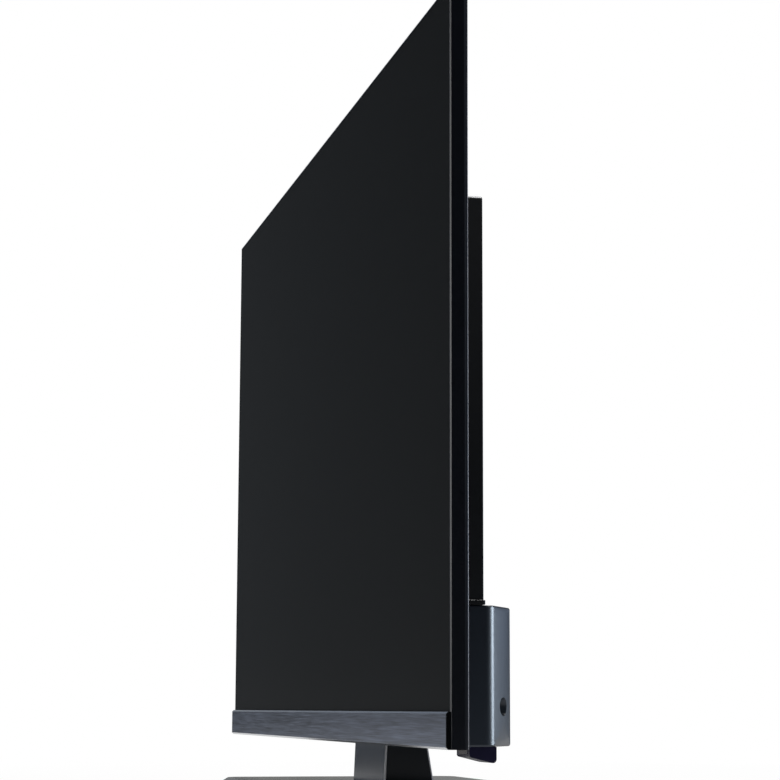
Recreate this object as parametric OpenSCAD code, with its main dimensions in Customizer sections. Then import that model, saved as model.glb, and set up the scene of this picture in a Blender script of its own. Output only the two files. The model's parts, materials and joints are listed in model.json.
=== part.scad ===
// Flat screen television on a central stand.
// An edge lit panel in thin metal trims, a two level rear cover, a control pod and a neck on a flat base.
// Millimetres. X runs to the viewer's right, Y to the back and Z up.
// The origin is on the table, under the middle of the base.

/* [Set] */
// Width over the side trims
set_w = 962; // [940:1:990]
// Height of the screen above the bottom strip
panel_h = 541; // [525:1:560]
// Depth of the thin edge round the screen
edge_depth = 14.8; // [14:0.1:17]
// Radius of the trims' rear corner
edge_round = 5; // [3:0.1:6]
// Chamfer on the trims' front corner
edge_chamfer = 0.9; // [0.4:0.1:1.2]
// Wall of the trims
trim_t = 1.5; // [1.2:0.1:2]
// Width of the trims' lip beside the glass
lip_w = 2; // [1.8:0.1:3]
// Reach of the trims' rear flange
trim_flange = 12; // [10:0.5:16]

/* [Bottom strip] */
// Height of the brushed strip
strip_h = 27; // [25:0.5:32]
// How far the strip stands in front of the screen
strip_proud = 3.2; // [2.4:0.1:5]
// Thickness of the brushed plate
strip_t = 1.5; // [1:0.1:2]
// Height of the plate's bevels
strip_bevel = 1.6; // [1:0.1:2.5]
// Thickness of the black cap on each end of the strip
strip_cap = 1.2; // [0.8:0.1:3]
// Floor of the carrier behind the strip
carrier_t = 2; // [1.5:0.1:2.5]

/* [Screen stack] */
// Thickness of the bonded glass
glass_t = 1.4; // [1:0.1:1.8]
// Thickness of the ledge behind the glass
ledge_t = 1.2; // [0.8:0.1:1.6]
// Width of that ledge
ledge_w = 8; // [6:0.5:10]
// Wall of the plastic frame
frame_wall = 2; // [1.5:0.1:3]
// Thickness of each optical film
film_t = 0.25; // [0.15:0.05:0.35]
// Thickness of the light guide
guide_t = 3; // [2.5:0.1:3.5]
// Thickness of the white reflector
reflector_t = 0.35; // [0.2:0.05:0.5]
// Thickness of the steel back plate
back_t = 0.8; // [0.6:0.1:1.2]
// Number of light emitting diodes along the bottom edge
led_count = 48; // [36:1:60]

/* [Rear covers] */
// Distance of the raised covers from the set's sides
cover_inset = 115; // [105:1:125]
// Distance of the raised cover from the set's top
bump_drop = 134; // [120:1:145]
// Depth of the upper cover behind the screen's front
bump_depth = 57.5; // [54:0.5:64]
// Radius of the upper cover's corners
bump_corner = 3; // [2.5:0.5:6]
// Radius of the upper cover's rear edges
bump_round = 1.6; // [1:0.1:2.4]
// Height of the lower box
box_h = 108.6; // [102:0.5:120]
// Depth of the lower box behind the screen's front
box_depth = 90; // [88:0.5:100]
// Depth at which the box's side turns into its slanted end
box_wall = 64.5; // [60:0.5:68]
// Sideways run of the slanted end
box_slant = 39; // [34:0.5:46]
// Radius between the side and the slanted end
box_round = 10; // [6:0.5:14]
// Radius of the box's upper and lower edges
box_edge = 1.8; // [1.5:0.1:3]
// Wall of both covers
cover_t = 2.2; // [1.8:0.1:2.5]
// Thickness of the flat rim round the upper cover
rim_t = 1.8; // [1.4:0.1:2.2]
// Bead where the upper cover meets the box
bead = 1.4; // [0.8:0.1:2]
// Height of that bead
bead_h = 3.4; // [2:0.1:5]
// Radius of the screw wells in the slanted ends
well_r = 7.3; // [6:0.1:8]
// Height of those wells above the set's underside
well_z = 30.8; // [26:0.1:36]
// Pitch of the ventilation slots
vent_pitch = 9; // [8:0.5:12]
// Width of each ventilation slot
vent_w = 3.2; // [2:0.1:4]

/* [Wall mount] */
// Spacing of the wall mount holes
vesa = 200; // [190:1:210]
// Thread radius of the wall mount holes
vesa_r = 3; // [2:0.5:4]
// Depth of those threads
vesa_len = 20; // [12:1:30]
// Radius of the threaded posts
vesa_post_r = 7; // [6:0.5:9]

/* [Stand] */
// Clear height between the base and the set
gap_h = 39.5; // [34:0.5:60]
// Width of the base
base_w = 420; // [380:1:480]
// Depth of the base
base_d = 256; // [236:1:290]
// Height of the base's top above the table
base_h = 12; // [11:0.5:16]
// Height of the base's upright rim above its pads
base_rim = 4.5; // [4:0.5:6]
// Width of the sloping border of the base's top
base_bevel = 10; // [6:0.5:16]
// Corner radius of the base
base_corner = 26; // [20:1:40]
// How far the base reaches in front of the screen
base_front = 64; // [56:1:72]
// Wall of the base cover
base_wall = 2.5; // [2:0.1:3]
// Thickness of the steel plate in the base
plate_t = 3; // [2:0.1:3.5]
// Width of the neck
neck_w = 130; // [118:1:150]
// Depth of the neck's front at the top
neck_front = 50.2; // [46:0.1:56]
// Depth of the neck's back at the top
neck_back = 89; // [86:0.5:90]
// How far the neck's front runs forward at its foot
neck_toe = 1.7; // [0:0.1:8]
// How far the neck's back runs backward at its foot
neck_heel = 6.5; // [3:0.1:12]
// Chamfer on the neck's upright edges
neck_chamfer = 1.5; // [1:0.1:4]
// Width of the steel post in the neck
post_w = 100; // [90:1:108]
// Thickness of that post
post_t = 3; // [2.5:0.1:4]
// Depth of the post's front face
post_d = 77; // [74:0.5:79]
// Height of the post inside the set
post_reach = 78; // [70:1:84]
// Thickness of the rubber pads
pad_t = 1.5; // [1.2:0.1:2.5]
// Radius of the rubber pads
pad_r = 9; // [6:0.5:12]

/* [Control pod] */
// Width of the pod
pod_w = 38; // [34:1:46]
// Distance of the pod from the box's side
pod_inset = 5; // [4:0.5:12]
// Depth of the pod's front
pod_front = 47; // [44:0.5:52]
// Length of the pod from front to back
pod_len = 21.7; // [21:0.1:26]
// Drop of the pod's front below the set
pod_drop = 8; // [7.5:0.1:11]
// Further drop at the pod's back
pod_fall = 4.3; // [3:0.1:6]
// Wall of the pod
pod_wall = 1.6; // [1.2:0.1:2]
// Radius of the power key
key_r = 4.4; // [3.5:0.1:5]
// Travel of the power key
key_travel = 0.8; // [0.5:0.1:1]

/* [Electronics] */
// Width of the main board
main_w = 200; // [180:1:220]
// Height of the main board
main_h = 190; // [184:1:200]
// Width of the power board
power_w = 210; // [190:1:225]
// Height of the power board
power_h = 160; // [150:1:180]
// Thickness of the boards
board_t = 1.6; // [1:0.1:2]
// Height of the board posts
board_post = 10; // [8:0.5:12]
// Length of each speaker box
speaker_l = 140; // [120:1:150]
// Depth of each speaker box
speaker_d = 42; // [38:1:46]
// Height of each speaker box
speaker_h = 50; // [46:1:56]

/* [Hidden] */
$fn = 48;

// Clearances: between parts that are slid together, along seams, and round moving parts
fit = 0.3;
seam = 0.4;
run = 0.4;

// Main planes
half_w = set_w / 2;
screen_y = base_front - base_d / 2;
set_z = base_h + gap_h;
strip_z = set_z + strip_h;
top_z = strip_z + panel_h;

// Depths of the screen stack, behind the trims' front
glass_d = 0.3;
ledge_d = glass_d + glass_t;
lip_t = ledge_d - 0.2;
film_d = ledge_d + ledge_t;
guide_d = film_d + 3 * film_t;
reflector_d = guide_d + guide_t;
plate_d = reflector_d + reflector_t;
plate_back = plate_d + back_t;
rim_d = edge_depth - rim_t;

// Widths and heights of the screen stack
glass_x = half_w - lip_w - fit;
glass_top = top_z - lip_w - fit;
glass_tuck = 6;
bond_ledge = 5;
frame_x = half_w - trim_t - fit;
frame_top = top_z - trim_t - fit;
frame_z = strip_z - 12.5;
sheet_x = frame_x - frame_wall - fit;
sheet_top = frame_top - frame_wall - fit;
guide_z = strip_z - 1.5;

// Light bar under the guide
led_gap = 0.8;
led_size = [4, 2.6, 1];
led_board_t = 1.2;
led_z = guide_z - led_gap - led_size[2] - led_board_t;
sink_t = 1.6;
sink_z = led_z - 12;
driver_h = 7.5;
driver_t = 1.2;
driver_d = film_d + 0.6;
driver_z = set_z + carrier_t + 0.2;
driver_l = 380;
driver_start = 40;
film_w = 28;
film_sheet = 0.2;
films_per_board = 6;
back_plate_z = sink_z + 1;

// Rear covers
bump_x = half_w - cover_inset;
bump_top = top_z - bump_drop;
box_top = set_z + box_h;
bump_z = box_top + seam;
shelf_d = bump_depth - 8;
slant = [box_slant, box_depth - box_wall] / norm([box_slant, box_depth - box_wall]);
back_round = 7;
box_front_r = 3.5;
rim_x = half_w - trim_flange - seam;
rim_top = top_z - trim_flange - seam;
boss_r = 4;
rim_screw_r = 1.5;
rim_screws = concat(
    [for (x = [-1, -0.34, 0.34, 1]) [x * (rim_x - 22), rim_top - 16]],
    [for (s = [-1, 1], z = [0.32, 0.62]) [s * (rim_x - 22), strip_z + z * panel_h]],
    [for (s = [-1, 1]) [s * (rim_x - 22), set_z + 22]]
);

// Lower cover fixings: a deep well in each slanted end and four in the back
end_well_x = bump_x - box_slant / 2;
end_well_floor = box_wall - 6;
back_well_r = 5.5;
back_well_floor = box_depth - 20;
well_wall = 2;
box_screw_r = 1.6;
box_head_r = 4;
box_head_h = 2.6;
box_bite = 14;
box_post_len = 22;
box_post_r = 4.5;
box_post_d = plate_back + box_post_len;
end_wells = [for (s = [-1, 1]) [s * end_well_x, set_z + well_z]];
speaker_room = 42.5;
speaker_x = [end_well_x - speaker_room - speaker_l, end_well_x - speaker_room];
back_well_x = speaker_x[0] - back_well_r - well_wall - 6.5;
back_wells = [for (s = [-1, 1], z = [17, box_h - 20]) [s * back_well_x, set_z + z]];

// Wall mount
vesa_z = (bump_z + bump_top) / 2;
vesa_points = [for (x = [-1, 1], z = [-1, 1]) [x * vesa / 2, vesa_z + z * vesa / 2]];

// Boards
board_d = plate_back + board_post;
board_back = board_d + board_t;
board_post_r = 3;
board_hole_r = 1.6;
board_inset = 6;
main_x = [-bump_x + cover_t + 9, -bump_x + cover_t + 9 + main_w];
main_z = [vesa_z - main_h / 2, vesa_z + main_h / 2];
power_x = [bump_x - cover_t - 12 - power_w, bump_x - cover_t - 12];
power_z = [vesa_z - power_h / 2, vesa_z + power_h / 2];
timing_w = 260;
timing_h = 44;
ribbon_w = 26;
ribbon_margin = 12;
timing_x = [-timing_w / 2, timing_w / 2];
timing_z = [vesa_z - vesa / 2 - 26 - timing_h, vesa_z - vesa / 2 - 26];
radio_w = 36;
radio_h = 22;
radio_x = [-speaker_x[0] - radio_w - 25, -speaker_x[0] - 25];
radio_z = [box_top - radio_h - 12, box_top - 12];
// Each board with its sides and the distance of its holes from its left side
boards = [
    [main_x, main_z, 30],
    [power_x, power_z, board_inset],
    [timing_x, timing_z, board_inset],
    [radio_x, radio_z, board_inset]
];

function corners(b) = [for (x = [b[0][0] + b[2], b[0][1] - board_inset],
    z = [b[1][0] + board_inset, b[1][1] - board_inset]) [x, z]];

board_points = [for (b = boards) each corners(b)];

// Sockets on the left side of the upper cover
socket_front = -bump_x + 0.6;
plate_x = [-bump_x + cover_t + fit, -bump_x + cover_t + fit + 1];
socket_z0 = main_z[0] + 6;
hdmi_size = [16, 6.6, 12.5];
hdmi_z = [for (i = [0:2]) socket_z0 + 14 + 24 * i];
usb_size = [14.6, 7.2, 14.5];
usb_z = [for (i = [0:1]) socket_z0 + 86 + 20 * i];
network_size = [16.5, 13.6, 21];
network_z = socket_z0 + 126;
optical_size = [10.5, 10.5, 13];
optical_z = socket_z0 + 144;
jack_size = [8.5, 7, 14];
jack_z = socket_z0 + 157;
aerial_size = [15, 15, 12];
aerial_z = socket_z0 + 173;
aerial_r = 4.75;
socket_wall = 0.8;

// Mains inlet in the back of the box, above the right-hand speaker
inlet_x = (speaker_x[0] + speaker_x[1]) / 2;
inlet_z = box_top - 30;
inlet_w = 24;
inlet_h = 14;
inlet_len = 20;
inlet_flange = 3;
inlet_deep = 12;
plug_h = 9;
pin_x = 4.3;
pin_r = 1.2;

// Speakers on the floor of the box
speaker_y = plate_back + 10;
speaker_z = set_z + cover_t + fit;
driver_r = 17;
driver_x = (speaker_x[0] + speaker_x[1]) / 2;
driver_mid = speaker_y + speaker_d / 2;

// Stand
foot_d = 46;
foot_z = pad_t + plate_t;
plate_margin = 9;
bracket_x = post_w / 2 + 5;
bracket_t = 3;
bracket_flange = 14;
bracket_foot_t = 2.5;
bracket_screw_r = 2;
// The ribbons leave near the timing board's ends, no further out than midway from the bracket to the posts
ribbon_x = min(timing_w / 2 - ribbon_margin - ribbon_w / 2,
    (bracket_x + bracket_flange + back_well_x - box_post_r) / 2);
bracket_z = [set_z + cover_t + 3, set_z + post_reach + 4];
neck_screw_r = 2.5;
neck_screws_at = [for (x = [-1, 1], z = [0.31, 0.74]) [x * 0.3 * post_w, set_z + z * post_reach]];
bracket_screws_at = [for (s = [-1, 1], z = [0.18, 0.56, 0.92])
    [s * (bracket_x + bracket_flange / 2), set_z + z * post_reach]];
base_screw_r = 2;
base_screws_at = [for (x = [-1, 1], d = [0.32, 0.77]) [x * 0.36 * post_w, foot_d + d * (post_d - foot_d)]];
pads_at = [for (x = [-1, 0, 1], y = [-1, 1]) [x * (base_w / 2 - 40), y * (base_d / 2 - 32)]];

// Control pod
pod_x = [bump_x - pod_inset - pod_w, bump_x - pod_inset];
pod_back = pod_front + pod_len;
pod_floor = set_z - pod_drop + pod_wall;
pod_mid = (pod_x[0] + pod_x[1]) / 2;
key_d = pod_front + 13;
key_flange = 0.8;
key_z = pod_floor + fit;
switch_h = 1.6;
switch_w = 6;
switch_z = key_z + key_flange + key_travel + 0.2;
key_stem_r = 1.2;
window_w = 25;
window_h = 4;
window_z = pod_floor + 0.6;
sensor_t = 1.2;

// Helpers

function arc(c, r, a0, a1, n = 8) =
    [for (i = [0:n]) let (a = a0 + (a1 - a0) * i / n) c + r * [cos(a), sin(a)]];

function round_rect(x, y, r) = concat(
    arc([x[1] - r, y[1] - r], r, 0, 90), arc([x[0] + r, y[1] - r], r, 90, 180),
    arc([x[0] + r, y[0] + r], r, 180, 270), arc([x[1] - r, y[0] + r], r, 270, 360));

// Box between two values on each axis, with its depth counted from the trims' front
module block(x, d, z) {
    translate([x[0], screen_y + d[0], z[0]])
        cube([x[1] - x[0], d[1] - d[0], z[1] - z[0]]);
}

// Plate with an outline in X and Z, between two depths
module sheet(points, d) {
    translate([0, screen_y + d[1], 0])
        rotate([90, 0, 0])
            linear_extrude(height = d[1] - d[0])
                polygon(points);
}

// Bar along X with an outline in depth and Z
module bar(points, x) {
    translate([x[0], screen_y, 0])
        rotate([90, 0, 90])
            linear_extrude(height = x[1] - x[0])
                polygon(points);
}

// Round rod along the depth, at a point in X and Z
module rod(p, r, d) {
    translate([p[0], screen_y + d[0], p[1]])
        rotate([-90, 0, 0])
            cylinder(r = r, h = d[1] - d[0]);
}

// Upright rod at a point in X and depth
module upright(x, d, r, z) {
    translate([x, screen_y + d, z[0]])
        cylinder(r = r, h = z[1] - z[0]);
}

// Rod along X at a point in depth and Z
module cross_rod(d, z, r, x) {
    translate([x[0], screen_y + d, z])
        rotate([0, 90, 0])
            cylinder(r = r, h = x[1] - x[0]);
}

// Pan head screw along the depth: the head sits on depth d and the shank runs to the front
module screw(p, head_r, head_h, r, d, len) {
    rod(p, head_r, [d, d + head_h]);
    rod(p, r, [d - len, d + 0.1]);
}

// Both sides of the set from the right-hand one
module both_sides() {
    children();
    mirror([1, 0, 0]) children();
}

// Sheet bent along a line of points, given as an outline of even thickness
function offset_line(line, t) =
    concat(line, [for (i = [len(line) - 1:-1:0]) line[i] + t * line_normal(line, i)]);

function line_normal(line, i) =
    let (a = line[max(i - 1, 0)], b = line[min(i + 1, len(line) - 1)], u = (b - a) / norm(b - a))
    [-u[1], u[0]];

// Round lead through a list of points, eight sided
function ring(p, t, r) =
    let (u = cross(t, [0.31, 0.83, 0.47]), n = u / norm(u), b = cross(t, n))
    [for (i = [0:7]) p + r * (cos(45 * i) * n + sin(45 * i) * b)];

function tangent(path, i) =
    let (v = path[min(i + 1, len(path) - 1)] - path[max(i - 1, 0)]) v / norm(v);

module lead(path, r) {
    n = len(path);
    points = [for (i = [0:n - 1]) each ring(path[i], tangent(path, i), r)];
    sides = [for (i = [0:n - 2], k = [0:7]) each
        let (a = 8 * i + k, b = 8 * i + (k + 1) % 8) [[a, b + 8, b], [a, a + 8, b + 8]]];
    near = [for (k = [1:6]) [0, k, k + 1]];
    far = [for (k = [1:6]) 8 * (n - 1) * [1, 1, 1] + [0, k + 1, k]];
    polyhedron(points = points, faces = concat(sides, near, far));
}

// Screen

module lcd_panel() {
    color([0.09, 0.1, 0.1])
        union() {
            block([-glass_x, glass_x], [glass_d, glass_d + glass_t / 2], [strip_z - glass_tuck, glass_top]);
            block([-glass_x, glass_x], [glass_d + glass_t / 2, ledge_d],
                [strip_z - glass_tuck - bond_ledge, glass_top]);
        }
}

module driver_films() {
    bond_z = strip_z - glass_tuck;
    face_d = glass_d + glass_t / 2;
    line = [[face_d, bond_z - 1], [face_d, frame_z - 0.6], [driver_d, driver_z + driver_h - 1],
        [driver_d, driver_z + 2]];
    color([0.6, 0.4, 0.15])
        for (s = [-1, 1], i = [0:films_per_board - 1])
            let (x = s * (driver_start + (i + 0.5) * driver_l / films_per_board) - film_w / 2)
                bar(offset_line(line, -film_sheet), [x, x + film_w]);
}

module driver_boards() {
    color([0.1, 0.35, 0.2])
        both_sides()
            block([driver_start, driver_start + driver_l], [driver_d, driver_d + driver_t],
                [driver_z, driver_z + driver_h]);
}

module screen_sheet(d, t) {
    block([-sheet_x, sheet_x], [d, d + t], [guide_z, sheet_top]);
}

module polarizing_film() {
    color([0.75, 0.75, 0.8]) screen_sheet(film_d, film_t);
}

module prism_sheet() {
    color([0.8, 0.8, 0.82]) screen_sheet(film_d + film_t, film_t);
}

module diffuser_sheet() {
    color([0.9, 0.9, 0.9]) screen_sheet(film_d + 2 * film_t, film_t);
}

module light_guide() {
    color([0.8, 0.88, 0.9]) screen_sheet(guide_d, guide_t);
}

module reflector_sheet() {
    color("white") screen_sheet(reflector_d, reflector_t);
}

module led_bar() {
    mid = (film_d + plate_d) / 2;
    step = 2 * (sheet_x - 12) / led_count;
    color([0.9, 0.9, 0.7])
        union() {
            block([-sheet_x, sheet_x], [mid - 1.8, mid + 1.8], [led_z, led_z + led_board_t]);
            for (i = [0:led_count - 1])
                let (x = -sheet_x + 12 + (i + 0.5) * step)
                    block([x - led_size[0] / 2, x + led_size[0] / 2],
                        [mid - led_size[1] / 2, mid + led_size[1] / 2],
                        [led_z + led_board_t - 0.1, led_z + led_board_t + led_size[2]]);
        }
}

// Angle that carries the light bar and takes its heat to the back plate
module led_heatsink() {
    color([0.7, 0.71, 0.73])
        bar([[film_d, led_z], [film_d, led_z - sink_t], [plate_d - sink_t, led_z - sink_t],
            [plate_d - sink_t, sink_z], [plate_d, sink_z], [plate_d, led_z]], [-sheet_x, sheet_x]);
}

module mid_frame() {
    color([0.12, 0.12, 0.13])
        difference() {
            block([-frame_x, frame_x], [ledge_d, edge_depth - edge_round], [frame_z, frame_top]);
            block([-frame_x + frame_wall, frame_x - frame_wall], [film_d, edge_depth],
                [frame_z - 1, frame_top - frame_wall]);
            block([-frame_x + ledge_w, frame_x - ledge_w], [ledge_d - 1, edge_depth],
                [strip_z + 2, frame_top - ledge_w]);
        }
}

// Steel plate with a folded edge, beads that stiffen it and a notch for the ribbons
module back_plate() {
    bead_x = 0.57 * bump_x;
    bead_l = 0.82 * bump_x;
    bead_w = 12;
    color([0.62, 0.64, 0.66])
        difference() {
            union() {
                block([-sheet_x, sheet_x], [plate_d, plate_back], [back_plate_z, sheet_top]);
                difference() {
                    block([-sheet_x, sheet_x], [plate_d, rim_d - fit], [back_plate_z + 14, sheet_top]);
                    block([-sheet_x + back_t, sheet_x - back_t], [plate_d - 1, rim_d],
                        [back_plate_z, sheet_top - back_t]);
                }
                for (s = [-1, 1], f = [0.22, 0.52])
                    let (x = s * bead_x, z = bump_top + f * bump_drop)
                        sheet(round_rect([x - bead_l / 2, x + bead_l / 2], [z, z + bead_w], 5),
                            [plate_back, plate_back + 1.5]);
            }
            for (p = bracket_screws_at) rod(p, bracket_screw_r + 0.1, [plate_d - 1, plate_back + 1]);
        }
}

// Trims

trim_outline = concat(
    [[-lip_w, 0], [-edge_chamfer, 0], [0, edge_chamfer]],
    arc([-edge_round, edge_depth - edge_round], edge_round, 0, 90),
    [[-trim_flange, edge_depth], [-trim_flange, edge_depth - trim_t]],
    arc([-edge_round, edge_depth - edge_round], edge_round - trim_t, 90, 0),
    [[-trim_t, lip_t], [-lip_w, lip_t]]
);

// Wedge that cuts a trim off at the corner's mitre, shifted outwards by a gap
module mitre(above, gap) {
    reach = trim_flange + 4;
    peak = above ? [half_w - reach, top_z + 4] : [half_w + 4, top_z - reach];
    sheet([[half_w - reach, top_z - reach - gap], [half_w + 4, top_z + 4 - gap], peak + [0, -gap]],
        [-1, edge_depth + 1]);
}

module trim_side() {
    color([0.03, 0.035, 0.04])
        difference() {
            translate([half_w, screen_y, set_z])
                linear_extrude(height = top_z - set_z)
                    polygon(trim_outline);
            mitre(true, 0.1);
        }
}

module trim_right() {
    trim_side();
}

module trim_left() {
    mirror([1, 0, 0]) trim_side();
}

module trim_top() {
    color([0.03, 0.035, 0.04])
        difference() {
            translate([half_w, screen_y, top_z])
                rotate([0, -90, 0])
                    linear_extrude(height = set_w)
                        polygon(trim_outline);
            both_sides() mitre(false, 0);
        }
}

function strip_outline(back, z0, z1) = [
    [-strip_proud, z0 + strip_bevel], [-strip_proud, z1 - strip_bevel], [back, z1], [back, z0]];

module bottom_strip() {
    color([0.33, 0.35, 0.37])
        bar(strip_outline(strip_t - strip_proud, set_z, strip_z), [strip_cap - half_w, half_w - strip_cap]);
}

// Black carrier behind the strip: front wall, end caps and the floor of the set
module strip_carrier() {
    face = strip_t - strip_proud;
    color([0.02, 0.02, 0.025])
        union() {
            block([-half_w, half_w], [face, 0], [set_z, strip_z]);
            both_sides() bar(strip_outline(face + 0.1, set_z, strip_z), [half_w - strip_cap, half_w]);
            block([edge_round - frame_x, frame_x - edge_round], [-0.1, rim_d], [set_z, set_z + carrier_t]);
        }
}

// Rear covers

// Round post with a rounded edge at its far end
module soft_post(r, edge, h) {
    rotate_extrude($fn = 32)
        polygon(concat([[0, 0], [r, 0]], arc([r - edge, h - edge], edge, 0, 90, 5), [[0, h]]));
}

// The same with both ends rounded
module pill_post(r, edge, h) {
    rotate_extrude($fn = 40)
        polygon(concat([[0, 0]], arc([r - edge, edge], edge, -90, 0, 5),
            arc([r - edge, h - edge], edge, 0, 90, 5), [[0, h]]));
}

// Form of the upper cover, drawn in by a wall, from a depth to its back
module bump_form(wall, front) {
    r = max(bump_corner - wall, 0.6);
    edge = min(max(bump_round - wall, 0.5), r);
    hull()
        for (s = [-1, 1], z = [set_z + 40, bump_top - bump_corner])
            translate([s * (bump_x - bump_corner), screen_y + front, z])
                rotate([-90, 0, 0])
                    soft_post(r, edge, bump_depth - wall - front);
}

// Form of the lower box: side posts, the corner of the slanted end and the back corner
module box_form(wall) {
    edge = max(box_edge - wall, 0.5);
    posts = [
        [bump_x - box_front_r, rim_d - 4, box_front_r],
        [bump_x - box_round, box_wall + box_round * (slant[1] - 1) / slant[0], box_round],
        [bump_x - box_slant + back_round * (slant[0] - 1) / slant[1], box_depth - back_round, back_round]
    ];
    hull()
        for (s = [-1, 1], p = posts)
            translate([s * p[0], screen_y + p[1], set_z + wall])
                pill_post(p[2] - wall, min(edge, p[2] - wall), box_h - 2 * wall);
}

// Row of slots with pointed ends in the back of a cover
module vent_row(x0, count, z, h, d) {
    r = vent_w / 2;
    for (i = [0:count - 1])
        let (x = x0 + (i - (count - 1) / 2) * vent_pitch)
            sheet([[x - r, z + r], [x, z], [x + r, z + r],
                [x + r, z + h - r], [x, z + h], [x - r, z + h - r]], d);
}

module rear_cover() {
    vents = floor(vesa * 0.9 / vent_pitch);
    back = [bump_depth - cover_t - 1, bump_depth + 1];
    color([0.05, 0.055, 0.06])
        difference() {
            union() {
                sheet(round_rect([-rim_x, rim_x], [set_z, rim_top], 3), [rim_d, edge_depth]);
                bump_form(0, rim_d);
                intersection() {
                    bump_form(-bead, rim_d);
                    block([-half_w, half_w], [edge_depth, box_depth], [bump_z, bump_z + bead_h]);
                }
                for (p = rim_screws) rod(p, boss_r, [plate_back, rim_d + 0.5]);
            }
            bump_form(cover_t, rim_d - 1);
            block([-bump_x - bead - seam, bump_x + bead + seam], [rim_d - 1, box_depth],
                [set_z - 1, bump_z]);
            for (p = rim_screws) rod(p, rim_screw_r + 0.2, [plate_back - 1, edge_depth + 1]);
            for (p = vesa_points) rod(p, vesa_post_r + fit, back);
            block([-bump_x - 1, -bump_x + cover_t + 1], [board_back - 0.5, board_back + 17.5],
                [socket_z0, main_z[1] - 2]);
            for (s = [-1, 1]) {
                vent_row(s * (bump_x + vesa / 2) / 2, vents, bump_top - 52, 34, back);
                vent_row(s * (bump_x + vesa / 2) / 2, vents, bump_z + 16, 26, back);
            }
        }
}

module rear_cover_screws() {
    color([0.1, 0.1, 0.1])
        for (p = rim_screws) screw(p, 3.2, 1.8, rim_screw_r, edge_depth, edge_depth - plate_back);
}

module lower_cover() {
    slots = floor(speaker_l * 0.8 / vent_pitch);
    floor_z = [set_z - 1, set_z + cover_t + 1];
    color([0.13, 0.15, 0.17])
        difference() {
            union() {
                difference() {
                    box_form(0);
                    box_form(cover_t);
                    block([-half_w, half_w], [-1, rim_d], [set_z - 1, box_top + 1]);
                    block([-bump_x + cover_t, bump_x - cover_t], [-1, shelf_d],
                        [box_top - 2 * cover_t, box_top + 1]);
                }
                intersection() {
                    box_form(0.2);
                    union() {
                        for (p = end_wells)
                            rod(p, well_r + well_wall, [end_well_floor - well_wall, box_depth]);
                        for (p = back_wells)
                            rod(p, back_well_r + well_wall, [back_well_floor - well_wall, box_depth]);
                    }
                }
                for (p = end_wells) rod(p, box_post_r, [box_post_d, end_well_floor]);
                for (p = back_wells) rod(p, box_post_r, [box_post_d, back_well_floor]);
            }
            for (p = end_wells) rod(p, well_r, [end_well_floor, box_depth + 1]);
            for (p = back_wells) rod(p, back_well_r, [back_well_floor, box_depth + 1]);
            for (p = concat(end_wells, back_wells)) rod(p, box_screw_r + 0.3, [box_post_d - 1, box_depth]);
            for (p = neck_screws_at) rod(p, 6, [box_depth - cover_t - 1, box_depth + 1]);
            block([-post_w / 2 - 1, post_w / 2 + 1], [post_d - 1, post_d + post_t + 1], floor_z);
            block([inlet_x - inlet_w / 2 - fit, inlet_x + inlet_w / 2 + fit], [box_depth - 5, box_depth + 1],
                [inlet_z - inlet_h / 2 - fit, inlet_z + inlet_h / 2 + fit]);
            block([pod_mid - 5, pod_mid + 5], [pod_front + 5, pod_front + 10], floor_z);
            for (s = [-1, 1], i = [0:slots - 1])
                let (x = s * driver_x + (i - (slots - 1) / 2) * vent_pitch)
                    block([x - vent_w / 2, x + vent_w / 2], [driver_mid - driver_r, driver_mid + driver_r],
                        floor_z);
        }
}

module lower_cover_screws() {
    tip = box_post_d - box_bite;
    color([0.12, 0.12, 0.12]) {
        for (p = end_wells)
            screw(p, box_head_r, box_head_h, box_screw_r, end_well_floor, end_well_floor - tip);
        for (p = back_wells)
            screw(p, box_head_r, box_head_h, box_screw_r, back_well_floor, back_well_floor - tip);
    }
}

// Threaded posts on the back plate that take the lower cover's screws
module cover_posts() {
    color([0.7, 0.7, 0.68])
        for (p = concat(end_wells, back_wells))
            difference() {
                rod(p, box_post_r, [plate_back, box_post_d]);
                rod(p, box_screw_r + 0.1, [plate_back + 4, box_post_d + 1]);
            }
}

module vesa_posts() {
    color([0.7, 0.7, 0.68])
        for (p = vesa_points)
            difference() {
                union() {
                    rod(p, vesa_post_r, [plate_back, bump_depth]);
                    rod(p, vesa_post_r + 6, [plate_back, plate_back + 2]);
                }
                rod(p, vesa_r, [bump_depth - vesa_len, bump_depth + 1]);
            }
}

// Electronics

module board(b) {
    difference() {
        block(b[0], [board_d, board_back], b[1]);
        for (p = corners(b)) rod(p, board_hole_r + 0.1, [board_d - 1, board_back + 1]);
    }
}

module main_board() {
    color([0.1, 0.35, 0.2]) board(boards[0]);
}

module power_board() {
    color([0.65, 0.5, 0.25]) board(boards[1]);
}

module timing_board() {
    color([0.1, 0.35, 0.2])
        union() {
            board(boards[2]);
            for (s = [-1, 1])
                block([s * ribbon_x - ribbon_w / 2 - 3, s * ribbon_x + ribbon_w / 2 + 3],
                    [board_back - 0.1, board_back + 2.5], [timing_z[0] + 1, timing_z[0] + 5]);
            block([-11, 11], [board_back - 0.1, board_back + 1.6], [timing_z[0] + 14, timing_z[0] + 36]);
        }
}

module board_posts() {
    color([0.7, 0.7, 0.68])
        for (p = board_points)
            difference() {
                rod(p, board_post_r, [plate_back, board_d]);
                rod(p, board_hole_r, [plate_back + 3, board_d + 1]);
            }
}

module board_screws() {
    color([0.75, 0.75, 0.75])
        for (p = board_points) screw(p, 2.8, 1.8, board_hole_r - 0.1, board_back, 6);
}

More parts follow.
